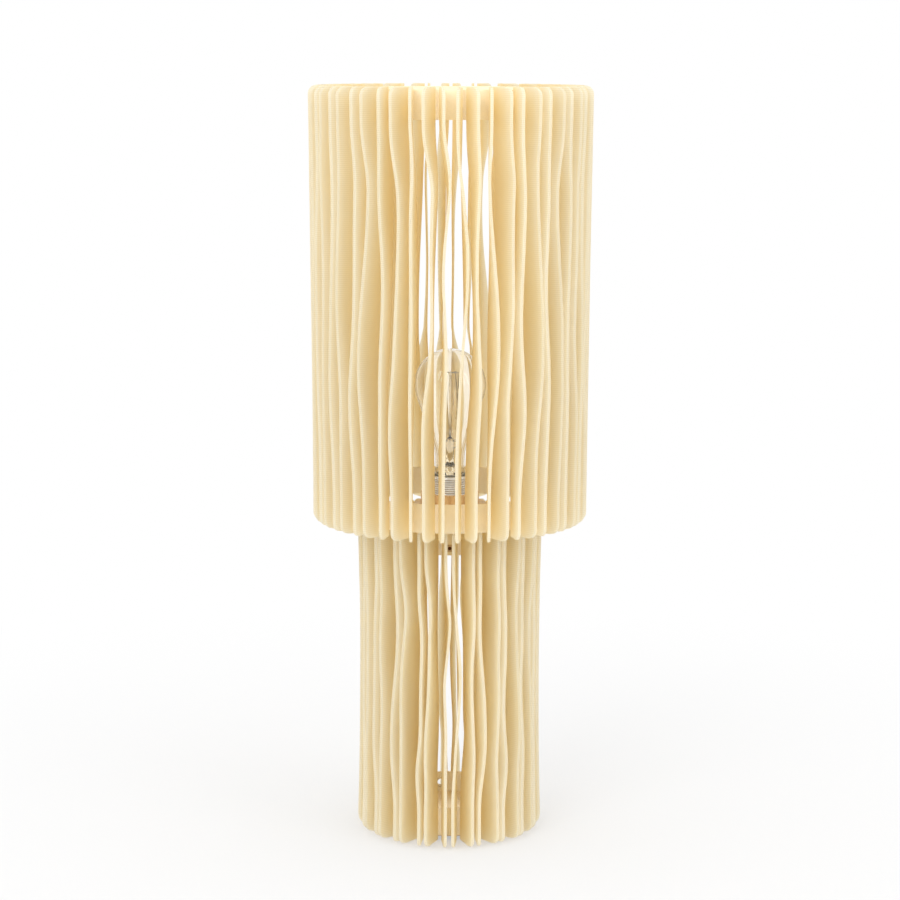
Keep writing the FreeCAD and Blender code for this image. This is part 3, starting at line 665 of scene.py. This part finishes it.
def pleat_tree():
    """Leaves on edge round a drum, in pairs held at the hoops and free between them."""
    t = ShapeTree("Pleated drum", [(label, "Int" if label in WHOLE_NUMBERS else "Float")
                                   for label in LEAF_INPUTS])
    count = t.given("Pairs") * 2.0
    line = t.make("GeometryNodeMeshLine", {"Count": count, "Offset": (0.0, 0.0, 0.0)})
    line = t.store(line, "leaf", t.index())
    upright = t.make("GeometryNodeCurvePrimitiveLine")
    upright = t.make("GeometryNodeResampleCurve", {"Curve": upright, "Count": t.given("Rows")})
    upright = t.store(upright, "rise", t.make("GeometryNodeSplineParameter"))
    all_leaves = t.make("GeometryNodeInstanceOnPoints", {"Points": line, "Instance": upright})
    all_leaves = t.make("GeometryNodeRealizeInstances", {"Geometry": all_leaves})
    loop = t.make("GeometryNodeCurvePrimitiveCircle",
                  {"Resolution": t.given("Points round"), "Radius": 1.0 * MM})
    loop = t.store(loop, "turn", t.index() / t.given("Points round"))
    shell = t.make("GeometryNodeCurveToMesh",
                   {"Curve": all_leaves, "Profile Curve": loop, "Fill Caps": True})

    leaf = t.stored("leaf")
    rise = t.stored("rise")
    turn = t.stored("turn") * (2 * math.pi)
    full = t.given("Height")
    # rows lie closer together near the ends, where the corners are rounded
    height = (rise - (rise * (2 * math.pi)).sin() * (ROW_CROWDING / (2 * math.pi))) * full
    pair = (leaf / 2.0).floor()
    side = (leaf - pair * 2.0) * 2.0 - 1.0
    share = height / full
    outer_radius = (t.given("Radius bottom") * (1.0 - share) * (1.0 - share * 2.0)
                    + t.given("Radius waist") * 4.0 * share * (1.0 - share)
                    + t.given("Radius top") * share * (share * 2.0 - 1.0))
    above = (height - t.given("Inset low") - t.given("Hoop height")) / t.given("Release low")
    below = full - height - t.given("Inset top") - t.given("Hoop height")
    below = below / t.given("Release top")
    free = above.least(below).spread(0.0, 1.0)
    inner_radius = t.given("Inner radius")
    half_pitch = math.pi / t.given("Pairs")
    inner_held = inner_radius * half_pitch - t.given("Inner gap") / 2.0
    inner_even = inner_radius * half_pitch / 2.0
    is_wide = t.math("COMPARE", pair, t.given("Wide pair"), 0.5)
    gap = t.given("Outer gap") + is_wide * (t.given("Wide gap") - t.given("Outer gap"))
    outer_held = gap / 2.0
    outer_even = outer_radius * half_pitch / 2.0
    loose = free * t.given("Free share")
    inner = side * (inner_held + (inner_even - inner_held) * loose)
    outer = side * (outer_held + (outer_even - outer_held) * loose)
    turns = leaf * (DRIFT_TURNS / 2.0) / t.given("Pairs")
    drift = ((share / DRIFT_LENGTH - DRIFT_LAG + turns) * (2 * math.pi)).sin() * free
    shortest = t.given("Wave")
    inner = (inner + t.given("Wander inner") * free * wander(height, leaf, 0.5, shortest)
             + t.given("Drift inner") * drift)
    outer = (outer + t.given("Wander outer") * free * wander(height, leaf, 0.0, shortest)
             + t.given("Drift outer") * drift)
    # low at the back the leaves lean away from the middle, and so hide more of what is behind
    round_turn = pair / t.given("Pairs") * (2 * math.pi)
    back = (0.5 - round_turn.cos() * 0.5).spread(0.6, 0.95)
    low = (above * t.given("Release low") / LEAN_RISE).spread(0.0, 1.0)
    below_top = (height - t.given("Lean top")).spread(-LEAN_RISE, 0.0, 1.0, 0.0)
    lean = t.math("SIGN", round_turn.sin()) * t.given("Back lean") * back * low * below_top
    inner = inner + lean * LEAN_INNER_SHARE
    outer = outer - lean
    # the fold is a little uneven, more so where it hangs free
    spot = t.make("ShaderNodeCombineXYZ", {"X": leaf * 7.3, "Y": height * 38.0})
    uneven = t.make("ShaderNodeTexNoise", {"Vector": spot, "Scale": 1.0, "Detail": 2.0})
    uneven = (uneven - 0.5) * 2.0 * t.given("Ripple")
    outer = outer + uneven * (free * 0.7 + 0.3)

    azimuth = round_turn + math.radians(FRONT)
    inner_angle = azimuth + inner / inner_radius
    outer_angle = azimuth + outer / outer_radius
    inner_x = inner_radius * inner_angle.cos()
    inner_y = inner_radius * inner_angle.sin()
    along_x = outer_radius * outer_angle.cos() - inner_x
    along_y = outer_radius * outer_angle.sin() - inner_y
    reach = (along_x * along_x + along_y * along_y).root()
    along_x = along_x / reach
    along_y = along_y / reach

    corner = t.given("Corner radius")
    into_corner = (corner - height.least(full - height)).most(0.0)
    cut = corner - (corner * corner - into_corner * into_corner).root()
    reach = reach - cut + uneven * 0.5
    hem = t.given("Hem thickness") / 2.0
    thin = t.given("Inner thickness") / 2.0
    tipward = turn.cos().most(0.0)
    inward = 1.0 - t.math("POWER", 0.0 - turn.cos().least(0.0), 1.6)
    along = (reach - hem) * inward + hem * tipward
    across = turn.sin() * (thin + (hem - thin) * inward.spread(0.8, 1.0))
    depth = along / reach
    belly = ((depth * math.pi).sin() * free * t.given("Bow")
             * wander(height, leaf, 0.25, shortest))
    across = across + belly
    place = t.make("ShaderNodeCombineXYZ",
                   {"X": inner_x + along_x * along - along_y * across,
                    "Y": inner_y + along_y * along + along_x * across,
                    "Z": t.given("Bottom") + height})
    shell = t.store(shell, "depth", depth)
    shell = t.make("GeometryNodeSetPosition", {"Geometry": shell, "Position": place})
    return t.end(shell)


def leaf_values(sizes, pleats):
    """The tree's inputs, from one drum's sizes and what both drums share."""
    values = {"Inner radius": sizes.hoop_radius + pleats.glue_gap}
    for label in LEAF_INPUTS:
        name = label.lower().replace(" ", "_")
        for group in (sizes, pleats):
            if hasattr(group, name):
                values[label] = getattr(group, name)
    return values


def make_leaves(context, name, body, sizes):
    scene = context.scene
    tree = bpy.data.node_groups.get("Pleated drum") or pleat_tree()
    paper = ribbed_paper(name + "_paper", scene.lamp_finish)
    piece = grown(name, tree, leaf_values(sizes, scene.lamp_pleats), paper)
    nodes = [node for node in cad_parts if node.startswith(name)]
    return stands_for(piece, body, "paper", *nodes)


class LAMP_OT_column_leaves(bpy.types.Operator):
    """Make the paper leaves of the column"""

    bl_idname = "lamp.column_leaves"
    bl_label = "Column Leaves"

    def execute(self, context):
        make_leaves(context, "base_leaves", "base", context.scene.lamp_column)
        return {"FINISHED"}


class LAMP_OT_shade_leaves(bpy.types.Operator):
    """Make the paper leaves of the shade"""

    bl_idname = "lamp.shade_leaves"
    bl_label = "Shade Leaves"

    def execute(self, context):
        make_leaves(context, "shade_leaves", "shade", context.scene.lamp_shade)
        return {"FINISHED"}


# ---------------------------------------------------------------- hoops, plates and foot

class LAMP_OT_hoops(bpy.types.Operator):
    """Finish the four hoops that hold the leaves"""

    bl_idname = "lamp.hoops"
    bl_label = "Hoops"

    def execute(self, context):
        cream = board(context.scene.lamp_finish)
        for name in ("base_lower_hoop", "base_upper_hoop", "shade_lower_hoop",
                     "shade_upper_hoop"):
            finish_node(name, cream)
        return {"FINISHED"}


class LAMP_OT_plates(bpy.types.Operator):
    """Finish the wooden crosspiece and the carrier, and the weight plate"""

    bl_idname = "lamp.plates"
    bl_label = "Crosspiece, Carrier and Weight"

    def execute(self, context):
        colours = context.scene.lamp_finish
        birch = plywood(colours)
        finish_node("crosspiece", birch)
        finish_node("shade_carrier", birch)
        finish_node("weight_plate", powder_coat(colours))
        return {"FINISHED"}


def round_axis_tree():
    """Copies of a shape, evenly spaced round the lamp's axis."""
    t = ShapeTree("Copies round the axis", [("Count", "Int"), ("Start", "Float")])
    points = t.make("GeometryNodeMeshLine", {"Count": t.given("Count"), "Offset": (0.0, 0.0, 0.0)})
    turn = t.index() / t.given("Count") * (2 * math.pi) + t.given("Start")
    rotation = t.make("ShaderNodeCombineXYZ", {"Z": turn})
    copies = t.make("GeometryNodeInstanceOnPoints",
                    {"Points": points, "Instance": t.given("Geometry"), "Rotation": rotation})
    return t.end(copies)


def copies_round(name, mesh, count, start, material):
    """Copies of a mesh made along +X, as one piece. The start is in degrees."""
    tree = bpy.data.node_groups.get("Copies round the axis") or round_axis_tree()
    return grown(name, tree, {"Count": count, "Start": math.radians(start)}, material, mesh)


SCREW_COUNT = 3                # one for each arm
PLATE_SCREW_PAIR = 2           # the first screw lies behind this pair of leaves
CARRIER_SCREW_PAIR = 4
EDGE_SCREW = {"head_radius": 2.7 * MM, "head_height": 1.6 * MM, "shank_radius": 1.2 * MM,
              "shank_length": 14 * MM, "pitch": 1.2 * MM}
TENON_SCREW = {"head_radius": 1.5 * MM, "head_height": 0.8 * MM, "shank_radius": 0.9 * MM,
               "shank_length": 12 * MM, "pitch": 0.9 * MM}
FOOT_COUNT = 4
FOOT_CIRCLE = 40 * MM          # from the lamp's axis to a foot's own
FOOT_TURN = 45.0               # degrees, from the front to the first foot
FOOT_PROFILE = ((0, 0.4), (3.6, 0.4), (4.0, 0.0), (6.4, 0.0), (7.0, 4.0), (0, 4.0))
FOOT_EASE = 0.5 * MM
GROMMET_BORE = 3.2 * MM        # radii
GROMMET_WAIST = 4.0 * MM
GROMMET_FLANGE = 4.8 * MM
GROMMET_LIP = 1.2 * MM         # a flange's thickness
GROMMET_LENGTH = 4.61 * MM
GROMMET_EASE = 0.35 * MM


def recessed_head(radius, height, recess):
    """A domed screw head along +Z with a cross recess."""
    work = bmesh.new()
    profile = [(0.0, 0.0), (radius, 0.0), (radius, height * 0.35), (radius * 0.86, height * 0.78),
               (radius * 0.5, height * 0.97), (0.0, height)]
    head = lathed(eased(profile, radius * 0.08), 40)
    for turn in (0.0, math.pi / 2):
        matrix = (Matrix.Translation((0, 0, height)) @ Matrix.Rotation(turn, 4, "Z")
                  @ Matrix.Diagonal((recess * 2, recess * 0.42, height * 0.9, 1.0)))
        bmesh.ops.create_cube(work, size=1.0, matrix=matrix)
    cutter_mesh = bpy.data.meshes.new("recess")
    work.to_mesh(cutter_mesh)
    work.free()
    body = bpy.data.objects.new("head", head)
    cutter = bpy.data.objects.new("cutter", cutter_mesh)
    for part in (body, cutter):
        bpy.context.scene.collection.objects.link(part)
    cut = body.modifiers.new("Recess", "BOOLEAN")
    cut.operation = "DIFFERENCE"
    cut.solver = "EXACT"
    cut.use_self = True
    cut.object = cutter
    graph = bpy.context.evaluated_depsgraph_get()
    made = bpy.data.meshes.new_from_object(body.evaluated_get(graph), depsgraph=graph)
    for part in (body, cutter):
        bpy.data.objects.remove(part)
    return made


def screw(seat, height, head_radius, head_height, shank_radius, shank_length, pitch):
    """A wood screw pointing inwards along +X at a height, its head on a seat radius."""
    head = recessed_head(head_radius, head_height, head_radius * 0.62)
    crests = int(shank_length * 0.8 / pitch)
    shank = [(0.0, 0.0), (shank_radius * 0.8, 0.0)]
    for i in range(crests):
        low = -shank_length * 0.15 - pitch * i
        shank += [(shank_radius * 0.72, low), (shank_radius, low - pitch * 0.5)]
    shank += [(shank_radius * 0.5, -shank_length * 0.95), (0.0, -shank_length)]
    whole = joined([head, lathed(shank, 20)])
    outwards = Matrix.Translation((seat, 0, height)) @ Matrix.Rotation(math.pi / 2, 4, "Y")
    whole.transform(outwards)
    return whole


def middle_height(node):
    low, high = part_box(node)
    return (low.z + high.z) / 2


class LAMP_OT_screws(bpy.types.Operator):
    """Make the screws through the hoops"""

    bl_idname = "lamp.screws"
    bl_label = "Hoop Screws"

    def execute(self, context):
        scene = context.scene
        zinc = plated("zinc_screw", scene.lamp_finish.steel, 0.34)
        bronze = plated("bronzed_screw", scene.lamp_finish.bronze, 0.42)
        column = scene.lamp_column
        start = FRONT + PLATE_SCREW_PAIR * 360.0 / column.pairs
        edge = screw(column.hoop_radius, middle_height("plate_screws"), **EDGE_SCREW)
        stands_for(copies_round("plate_screw_set", edge, SCREW_COUNT, start, zinc),
                   "base", "screw_steel", "plate_screws")
        shade = scene.lamp_shade
        edge = screw(shade.hoop_radius, middle_height("carrier_screws"), **EDGE_SCREW)
        start = FRONT + CARRIER_SCREW_PAIR * 360.0 / shade.pairs
        stands_for(copies_round("carrier_screw_set", edge, SCREW_COUNT, start, zinc),
                   "shade", "screw_steel", "carrier_screws")
        tenon = screw(column.hoop_radius, middle_height("tenon_screws"), **TENON_SCREW)
        stands_for(copies_round("tenon_screw_set", tenon, SCREW_COUNT, FRONT, bronze),
                   "base", "bronzed_screw", "tenon_screws")
        return {"FINISHED"}


class LAMP_OT_foot(bpy.types.Operator):
    """Make the rubber feet and the cord outlet's grommet"""

    bl_idname = "lamp.foot"
    bl_label = "Feet and Cord Outlet"

    def execute(self, context):
        rubber = moulded("black_rubber", context.scene.lamp_finish.black, 0.62, 0.8)
        foot = lathed(eased([(r * MM, z * MM) for r, z in FOOT_PROFILE], FOOT_EASE), 48)
        foot.transform(Matrix.Translation((FOOT_CIRCLE, 0, 0)))
        stands_for(copies_round("rubber_foot_set", foot, FOOT_COUNT, FRONT + FOOT_TURN, rubber),
                   "base", "rubber", "rubber_feet")
        cream = moulded("cream_rubber", context.scene.lamp_finish.grommet, 0.6, 0.8, 0.03)
        column = context.scene.lamp_column
        azimuth = FRONT + 360.0 * column.wide_pair / column.pairs
        out = column.hoop_radius + GROMMET_LIP
        inner = out - GROMMET_LENGTH
        sleeve = lathed(eased([(GROMMET_BORE, inner), (GROMMET_FLANGE, inner),
                               (GROMMET_FLANGE, inner + GROMMET_LIP),
                               (GROMMET_WAIST, inner + GROMMET_LIP),
                               (GROMMET_WAIST, out - GROMMET_LIP),
                               (GROMMET_FLANGE, out - GROMMET_LIP),
                               (GROMMET_FLANGE, out), (GROMMET_BORE, out)], GROMMET_EASE), 48)
        sleeve.transform(Matrix.Translation((0, 0, middle_height("cord_grommet")))
                         @ Matrix.Rotation(math.radians(azimuth), 4, "Z")
                         @ Matrix.Rotation(math.pi / 2, 4, "Y"))
        stands_for(placed("cord_grommet_sleeve", sleeve, cream), "base", "pale_rubber",
                   "cord_grommet")
        return {"FINISHED"}


# ---------------------------------------------------------------- lampholder

def threaded(radius, depth, pitch, low, high):
    """The (radius, height) points of a thread's rounded crests, from the lowest up."""
    count = max(1, int(round((high - low) / pitch)))
    step = (high - low) / count
    points = []
    for i in range(count):
        for share, in_out in ((0.0, 1.0), (0.25, 0.5), (0.42, 0.06), (0.58, 0.06), (0.75, 0.5)):
            points.append((radius - depth * in_out, low + step * (i + share)))
    points.append((radius - depth, high))
    return points


class LAMP_OT_holder(bpy.types.Operator):
    """Make and finish the lampholder and the shade ring"""

    bl_idname = "lamp.holder"
    bl_label = "Lampholder and Shade Ring"

    def execute(self, context):
        colours = context.scene.lamp_finish
        zinc = plated("zinc_steel", colours.steel, 0.36)
        nickel = plated("nickel_shell", colours.nickel, 0.32, 0.45)
        brass = plated("bare_brass", colours.brass, 0.3, 0.4)
        glaze = moulded("glazed_insulator", colours.porcelain, 0.28, 0.25, 0.02, 0.5)
        amber = moulded("amber_plastic", colours.amber, 0.38, 0.4, 0.05)
        low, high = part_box("nipple")
        thread = [(3.6 * MM, low.z)] + threaded(5.0 * MM, 0.4 * MM, 1.0 * MM, low.z, high.z)
        nipple = lathed(thread + [(3.6 * MM, high.z)], 48)
        stands_for(placed("threaded_nipple", nipple, zinc), "base", "zinc_steel", "nipple")
        finish_node("nipple_nut", zinc)
        finish_node("nipple_washers", zinc)
        finish_node("holder_cap", nickel)
        low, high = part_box("holder_skirt")
        flange = low.z + 2.7 * MM
        skirt = [(17.5 * MM, low.z), (22.0 * MM, low.z), (22.5 * MM, low.z + 0.5 * MM),
                 (22.5 * MM, flange - 0.5 * MM), (22.0 * MM, flange)]
        skirt += threaded(19.5 * MM, 0.7 * MM, 2.0 * MM, flange, high.z - 1.2 * MM)
        skirt += [(18.8 * MM, high.z - 0.3 * MM), (18.4 * MM, high.z), (17.5 * MM, high.z)]
        stands_for(placed("holder_skirt_shell", lathed(skirt, 120), nickel), "base",
                   "holder_metal", "holder_skirt")
        finish_node("holder_insert", glaze)
        low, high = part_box("holder_screw_shell")
        wall = 0.7 * MM
        inner = threaded(13.55 * MM + wall, 0.45 * MM, 3.6 * MM, low.z + 3 * MM, high.z - MM)
        outer_line = [(14.25 * MM, low.z)] + [(r - 0.02 * MM, z) for r, z in inner]
        outer_line += [(14.25 * MM, high.z)]
        inner_line = [(r - wall * 0.45, z) for r, z in reversed(outer_line)]
        shell = lathed(outer_line + inner_line, 96)
        stands_for(placed("holder_threaded_shell", shell, brass), "base", "brass",
                   "holder_screw_shell")
        finish_node("holder_contact", brass)
        finish_node("terminal_screws", brass)
        finish_node("shade_ring", amber)
        return {"FINISHED"}


# ---------------------------------------------------------------- bulb

GLASS_SLOPE = math.radians(19.0)
GLASS_RADIUS = 32.0 * MM
GLASS_NECK = 13.2 * MM
GLASS_BLEND = 45.0 * MM        # the radius of the bend above the neck
GLASS_WALL = 0.9 * MM
BLEND_STEPS = 8
SIDE_STEPS = 5
DOME_STEPS = 28
FILAMENT_RUNS = 8
FILAMENT_WIRE = 0.2 * MM       # radii of the wires
SUPPORT_WIRE = 0.3 * MM
LEAD_WIRE = 0.4 * MM


def glass_line(top, foot, inset):
    """The bulb's outline from the neck up to the dome's top, drawn in by an inset."""
    slope = GLASS_SLOPE
    radius = GLASS_RADIUS - inset
    neck = GLASS_NECK - inset
    blend = GLASS_BLEND + inset
    centre = top - GLASS_RADIUS
    side = Vector((radius * math.cos(slope), centre - radius * math.sin(slope)))
    bend = side.y - (side.x - neck) / math.tan(slope)
    reach = blend * math.tan(slope / 2)
    points = [(neck, foot)]
    for i in range(BLEND_STEPS + 1):
        angle = slope * i / BLEND_STEPS
        points.append((neck + blend * (1 - math.cos(angle)),
                       bend - reach + blend * math.sin(angle)))
    blend_end = Vector(points[-1])
    for i in range(1, SIDE_STEPS):
        spot = blend_end.lerp(side, i / SIDE_STEPS)
        points.append((spot.x, spot.y))
    for i in range(DOME_STEPS + 1):
        angle = -slope + (math.pi / 2 + slope) * i / DOME_STEPS
        points.append((max(0.0, radius * math.cos(angle)), centre + radius * math.sin(angle)))
    return points


class LAMP_OT_bulb(bpy.types.Operator):
    """Make the clear bulb with its stem, supports, filament and cap"""

    bl_idname = "lamp.bulb"
    bl_label = "Bulb"

    def execute(self, context):
        colours = context.scene.lamp_finish
        glass = clear_glass()
        low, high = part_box("bulb_glass")
        outer = glass_line(high.z, low.z, 0.0)
        inner = glass_line(high.z, low.z, GLASS_WALL)
        envelope = lathed(outer + inner[::-1], 112)
        stands_for(placed("bulb_envelope", envelope, glass, 60.0), "bulb", "clear_glass",
                   "bulb_glass")
        low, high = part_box("bulb_stem")
        supports_low, supports_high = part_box("filament_supports")
        stem_top = supports_low.z + SUPPORT_WIRE
        filament_top = high.z
        stem = lathed([(0, low.z + 1.5 * MM), (9.5 * MM, low.z + 0.4 * MM), (12.2 * MM, low.z),
                       (9.0 * MM, low.z + 3.2 * MM), (5.0 * MM, low.z + 6.4 * MM),
                       (3.4 * MM, low.z + 9 * MM), (3.2 * MM, stem_top - 3 * MM),
                       (3.3 * MM, stem_top), (2.4 * MM, stem_top + 2.2 * MM),
                       (1.0 * MM, stem_top + 3.4 * MM), (1.0 * MM, filament_top - 2.4 * MM),
                       (1.7 * MM, filament_top - 1.6 * MM), (1.7 * MM, filament_top - 0.4 * MM),
                       (1.0 * MM, filament_top), (0, filament_top)], 56)
        stands_for(placed("glass_stem", stem, glass, 60.0), "bulb", "clear_glass", "bulb_stem")
        wire = plated("support_wire", (0.45, 0.43, 0.40), 0.35)
        glow = plated("filament_wire", (0.20, 0.12, 0.06), 0.5)
        top = supports_high.z - SUPPORT_WIRE
        turns = [360.0 * i / FILAMENT_RUNS for i in range(FILAMENT_RUNS)]
        lead_turns = (0.0, 180.0)
        hooks = []
        for turn in turns:
            hooks.append(wire_along([polar(1.2 * MM, turn, top), polar(7.3 * MM, turn, top),
                                     polar(7.9 * MM, turn, top + 0.1 * MM)], SUPPORT_WIRE))
            if turn not in lead_turns:
                hooks.append(wire_along([polar(3.2 * MM, turn, stem_top),
                                         polar(10.4 * MM, turn, stem_top)], SUPPORT_WIRE))
        stands_for(placed("support_hooks", joined(hooks), wire), "bulb", "support_wire",
                   "filament_supports")
        leads = []
        for turn in lead_turns:
            leads.append(wire_along([polar(3.3 * MM, turn, stem_top - 7 * MM),
                                     polar(5.5 * MM, turn, stem_top - 5.5 * MM),
                                     polar(9.2 * MM, turn, stem_top - 0.8 * MM),
                                     polar(9.5 * MM, turn, stem_top)], LEAD_WIRE))
        stands_for(placed("lead_wire_pair", joined(leads), wire), "bulb", "support_wire",
                   "lead_wires")
        path = []
        for turn in turns:
            path.append(polar(9.5 * MM, turn, stem_top + 0.5 * MM))
            path.append(polar(7.0 * MM, turn, top - 0.5 * MM))
        cage = wire_along(path, FILAMENT_WIRE, 8, closed=True)
        stands_for(placed("filament_cage", cage, glow), "bulb", "filament_wire", "filament")
        finish_node("bulb_cap", plated("cap_metal", (0.66, 0.64, 0.58), 0.3))
        finish_node("bulb_cap_insulator", moulded("black_glass", colours.black, 0.2, 0.2))
        finish_node("bulb_cap_tip", plated("tip_metal", colours.steel, 0.3))
        return {"FINISHED"}


# ---------------------------------------------------------------- stage

FLOOR_RADIUS = 40.0            # metres, as the other lengths of the stage
FLOOR_GREYS = ((0.64, 0.64, 0.64), (0.67, 0.67, 0.67))
FLOOR_SPECK = 3 * MM
WHITE_NEAR, WHITE_FAR = 0.1, 0.9
WHITE_SHARE_NEAR = 0.45        # of the floor's colour, under the lamp
KEY_SIZE, KEY_SPOT = 1.8, (-1.3, -2.4, 2.2)
FILL_SIZE, FILL_SPOT = 1.4, (1.9, -1.4, 1.3)
LIT_SPOT = (0, 0, 0.35)
SENSOR_WIDTH = 36.0            # millimetres
CLIP_END = 200.0


def shown_as_white(wiring):
    """1 for what the camera sees itself, or in a mirror or through glass; else 0."""
    path = wiring.node("ShaderNodeLightPath")
    seen = Signal(wiring, path.outputs["Is Camera Ray"])
    seen = seen.most(Signal(wiring, path.outputs["Is Glossy Ray"]))
    return seen.most(Signal(wiring, path.outputs["Is Transmission Ray"]))


def white_world(settings):
    world = bpy.data.worlds.new("White room")
    bpy.context.scene.world = world
    world.use_nodes = True
    w = Wiring(world.node_tree)
    strength = shown_as_white(w).spread(0.0, 1.0, settings.ambient, 1.0, "LINEAR")
    background = world.node_tree.nodes["Background"]
    background.inputs["Color"].default_value = (1.0, 1.0, 1.0, 1.0)
    w.feed(background.inputs["Strength"], strength)


def pale_floor():
    """A floor that keeps the lamp's shadow and turns to plain white further off."""
    mesh = bpy.data.meshes.new("floor")
    work = bmesh.new()
    bmesh.ops.create_circle(work, cap_ends=True, segments=96, radius=FLOOR_RADIUS)
    work.to_mesh(mesh)
    work.free()
    floor = bpy.data.objects.new("floor", mesh)
    bpy.context.scene.collection.objects.link(floor)
    material, w, shader = surface("pale_floor", Roughness=0.9, Specular_IOR_Level=0.1)
    where = w.node("ShaderNodeTexCoord").outputs["Object"]
    far = w.make("ShaderNodeVectorMath", {0: where}, out=1, operation="LENGTH")
    speck = grain(w, FLOOR_SPECK, 2.0)
    w.feed(shader.inputs["Base Color"], w.mixed(speck, *FLOOR_GREYS))
    white = w.make("ShaderNodeEmission", {"Color": (1.0, 1.0, 1.0, 1.0), "Strength": 1.0})
    share = shown_as_white(w) * far.spread(WHITE_NEAR, WHITE_FAR, WHITE_SHARE_NEAR, 1.0)
    both = w.make("ShaderNodeMixShader", {0: share, 1: shader.outputs[0], 2: white})
    w.feed(material.node_tree.nodes["Material Output"].inputs["Surface"], both)
    mesh.materials.append(material)


def soft_lamp(name, power, size, spot, target):
    light = bpy.data.lights.new(name, "AREA")
    light.energy = power
    light.size = size
    lamp = bpy.data.objects.new(name, light)
    bpy.context.scene.collection.objects.link(lamp)
    lamp.location = spot
    lamp.rotation_euler = (Vector(target) - Vector(spot)).to_track_quat("-Z", "Y").to_euler()


class LAMP_OT_stage(bpy.types.Operator):
    """Set the floor, the light and the camera"""

    bl_idname = "lamp.stage"
    bl_label = "Stage"

    def execute(self, context):
        scene = context.scene
        settings = scene.lamp_stage
        white_world(settings)
        pale_floor()
        soft_lamp("key", settings.key_power, KEY_SIZE, KEY_SPOT, LIT_SPOT)
        soft_lamp("fill", settings.fill_power, FILL_SIZE, FILL_SPOT, LIT_SPOT)
        scene.view_settings.view_transform = "Standard"
        data = bpy.data.cameras.new("camera")
        data.sensor_width = SENSOR_WIDTH
        data.lens = settings.focal_share * data.sensor_width
        data.clip_end = CLIP_END
        camera = bpy.data.objects.new("camera", data)
        scene.collection.objects.link(camera)
        camera.location = (0, -settings.camera_distance, settings.camera_height)
        tilt = Matrix.Rotation(math.pi / 2 - settings.camera_pitch, 4, "X")
        roll = Matrix.Rotation(settings.camera_roll, 4, "Z")
        camera.rotation_euler = (tilt @ roll).to_euler()
        scene.camera = camera
        return {"FINISHED"}


# ---------------------------------------------------------------- panel and registration

STEPS = (LAMP_OT_column_leaves, LAMP_OT_shade_leaves, LAMP_OT_hoops, LAMP_OT_plates,
         LAMP_OT_screws, LAMP_OT_foot, LAMP_OT_holder, LAMP_OT_bulb, LAMP_OT_stage)
GROUPS = {"lamp_pleats": PleatSizes, "lamp_column": ColumnSizes, "lamp_shade": ShadeSizes,
          "lamp_finish": FinishColours, "lamp_stage": StageSettings}


class LAMP_PT_panel(bpy.types.Panel):
    """The lamp's pieces and their sizes"""

    bl_label = "Paper Lamp"
    bl_idname = "LAMP_PT_panel"
    bl_space_type = "VIEW_3D"
    bl_region_type = "UI"
    bl_category = "Paper Lamp"

    def draw(self, context):
        for step in STEPS:
            self.layout.operator(step.bl_idname)
        for group, kind in GROUPS.items():
            box = self.layout.box()
            for label in kind.__annotations__:
                box.prop(getattr(context.scene, group), label)


def register():
    for kind in (*GROUPS.values(), *STEPS, LAMP_PT_panel):
        bpy.utils.register_class(kind)
    for name, kind in GROUPS.items():
        setattr(bpy.types.Scene, name, PointerProperty(type=kind))


def unregister():
    for name in GROUPS:
        delattr(bpy.types.Scene, name)
    for kind in reversed((*GROUPS.values(), *STEPS, LAMP_PT_panel)):
        bpy.utils.unregister_class(kind)


def main():
    register()
    for step in STEPS:
        group, name = step.bl_idname.split(".")
        getattr(getattr(bpy.ops, group), name)()


if __name__ == "__main__":
    main()
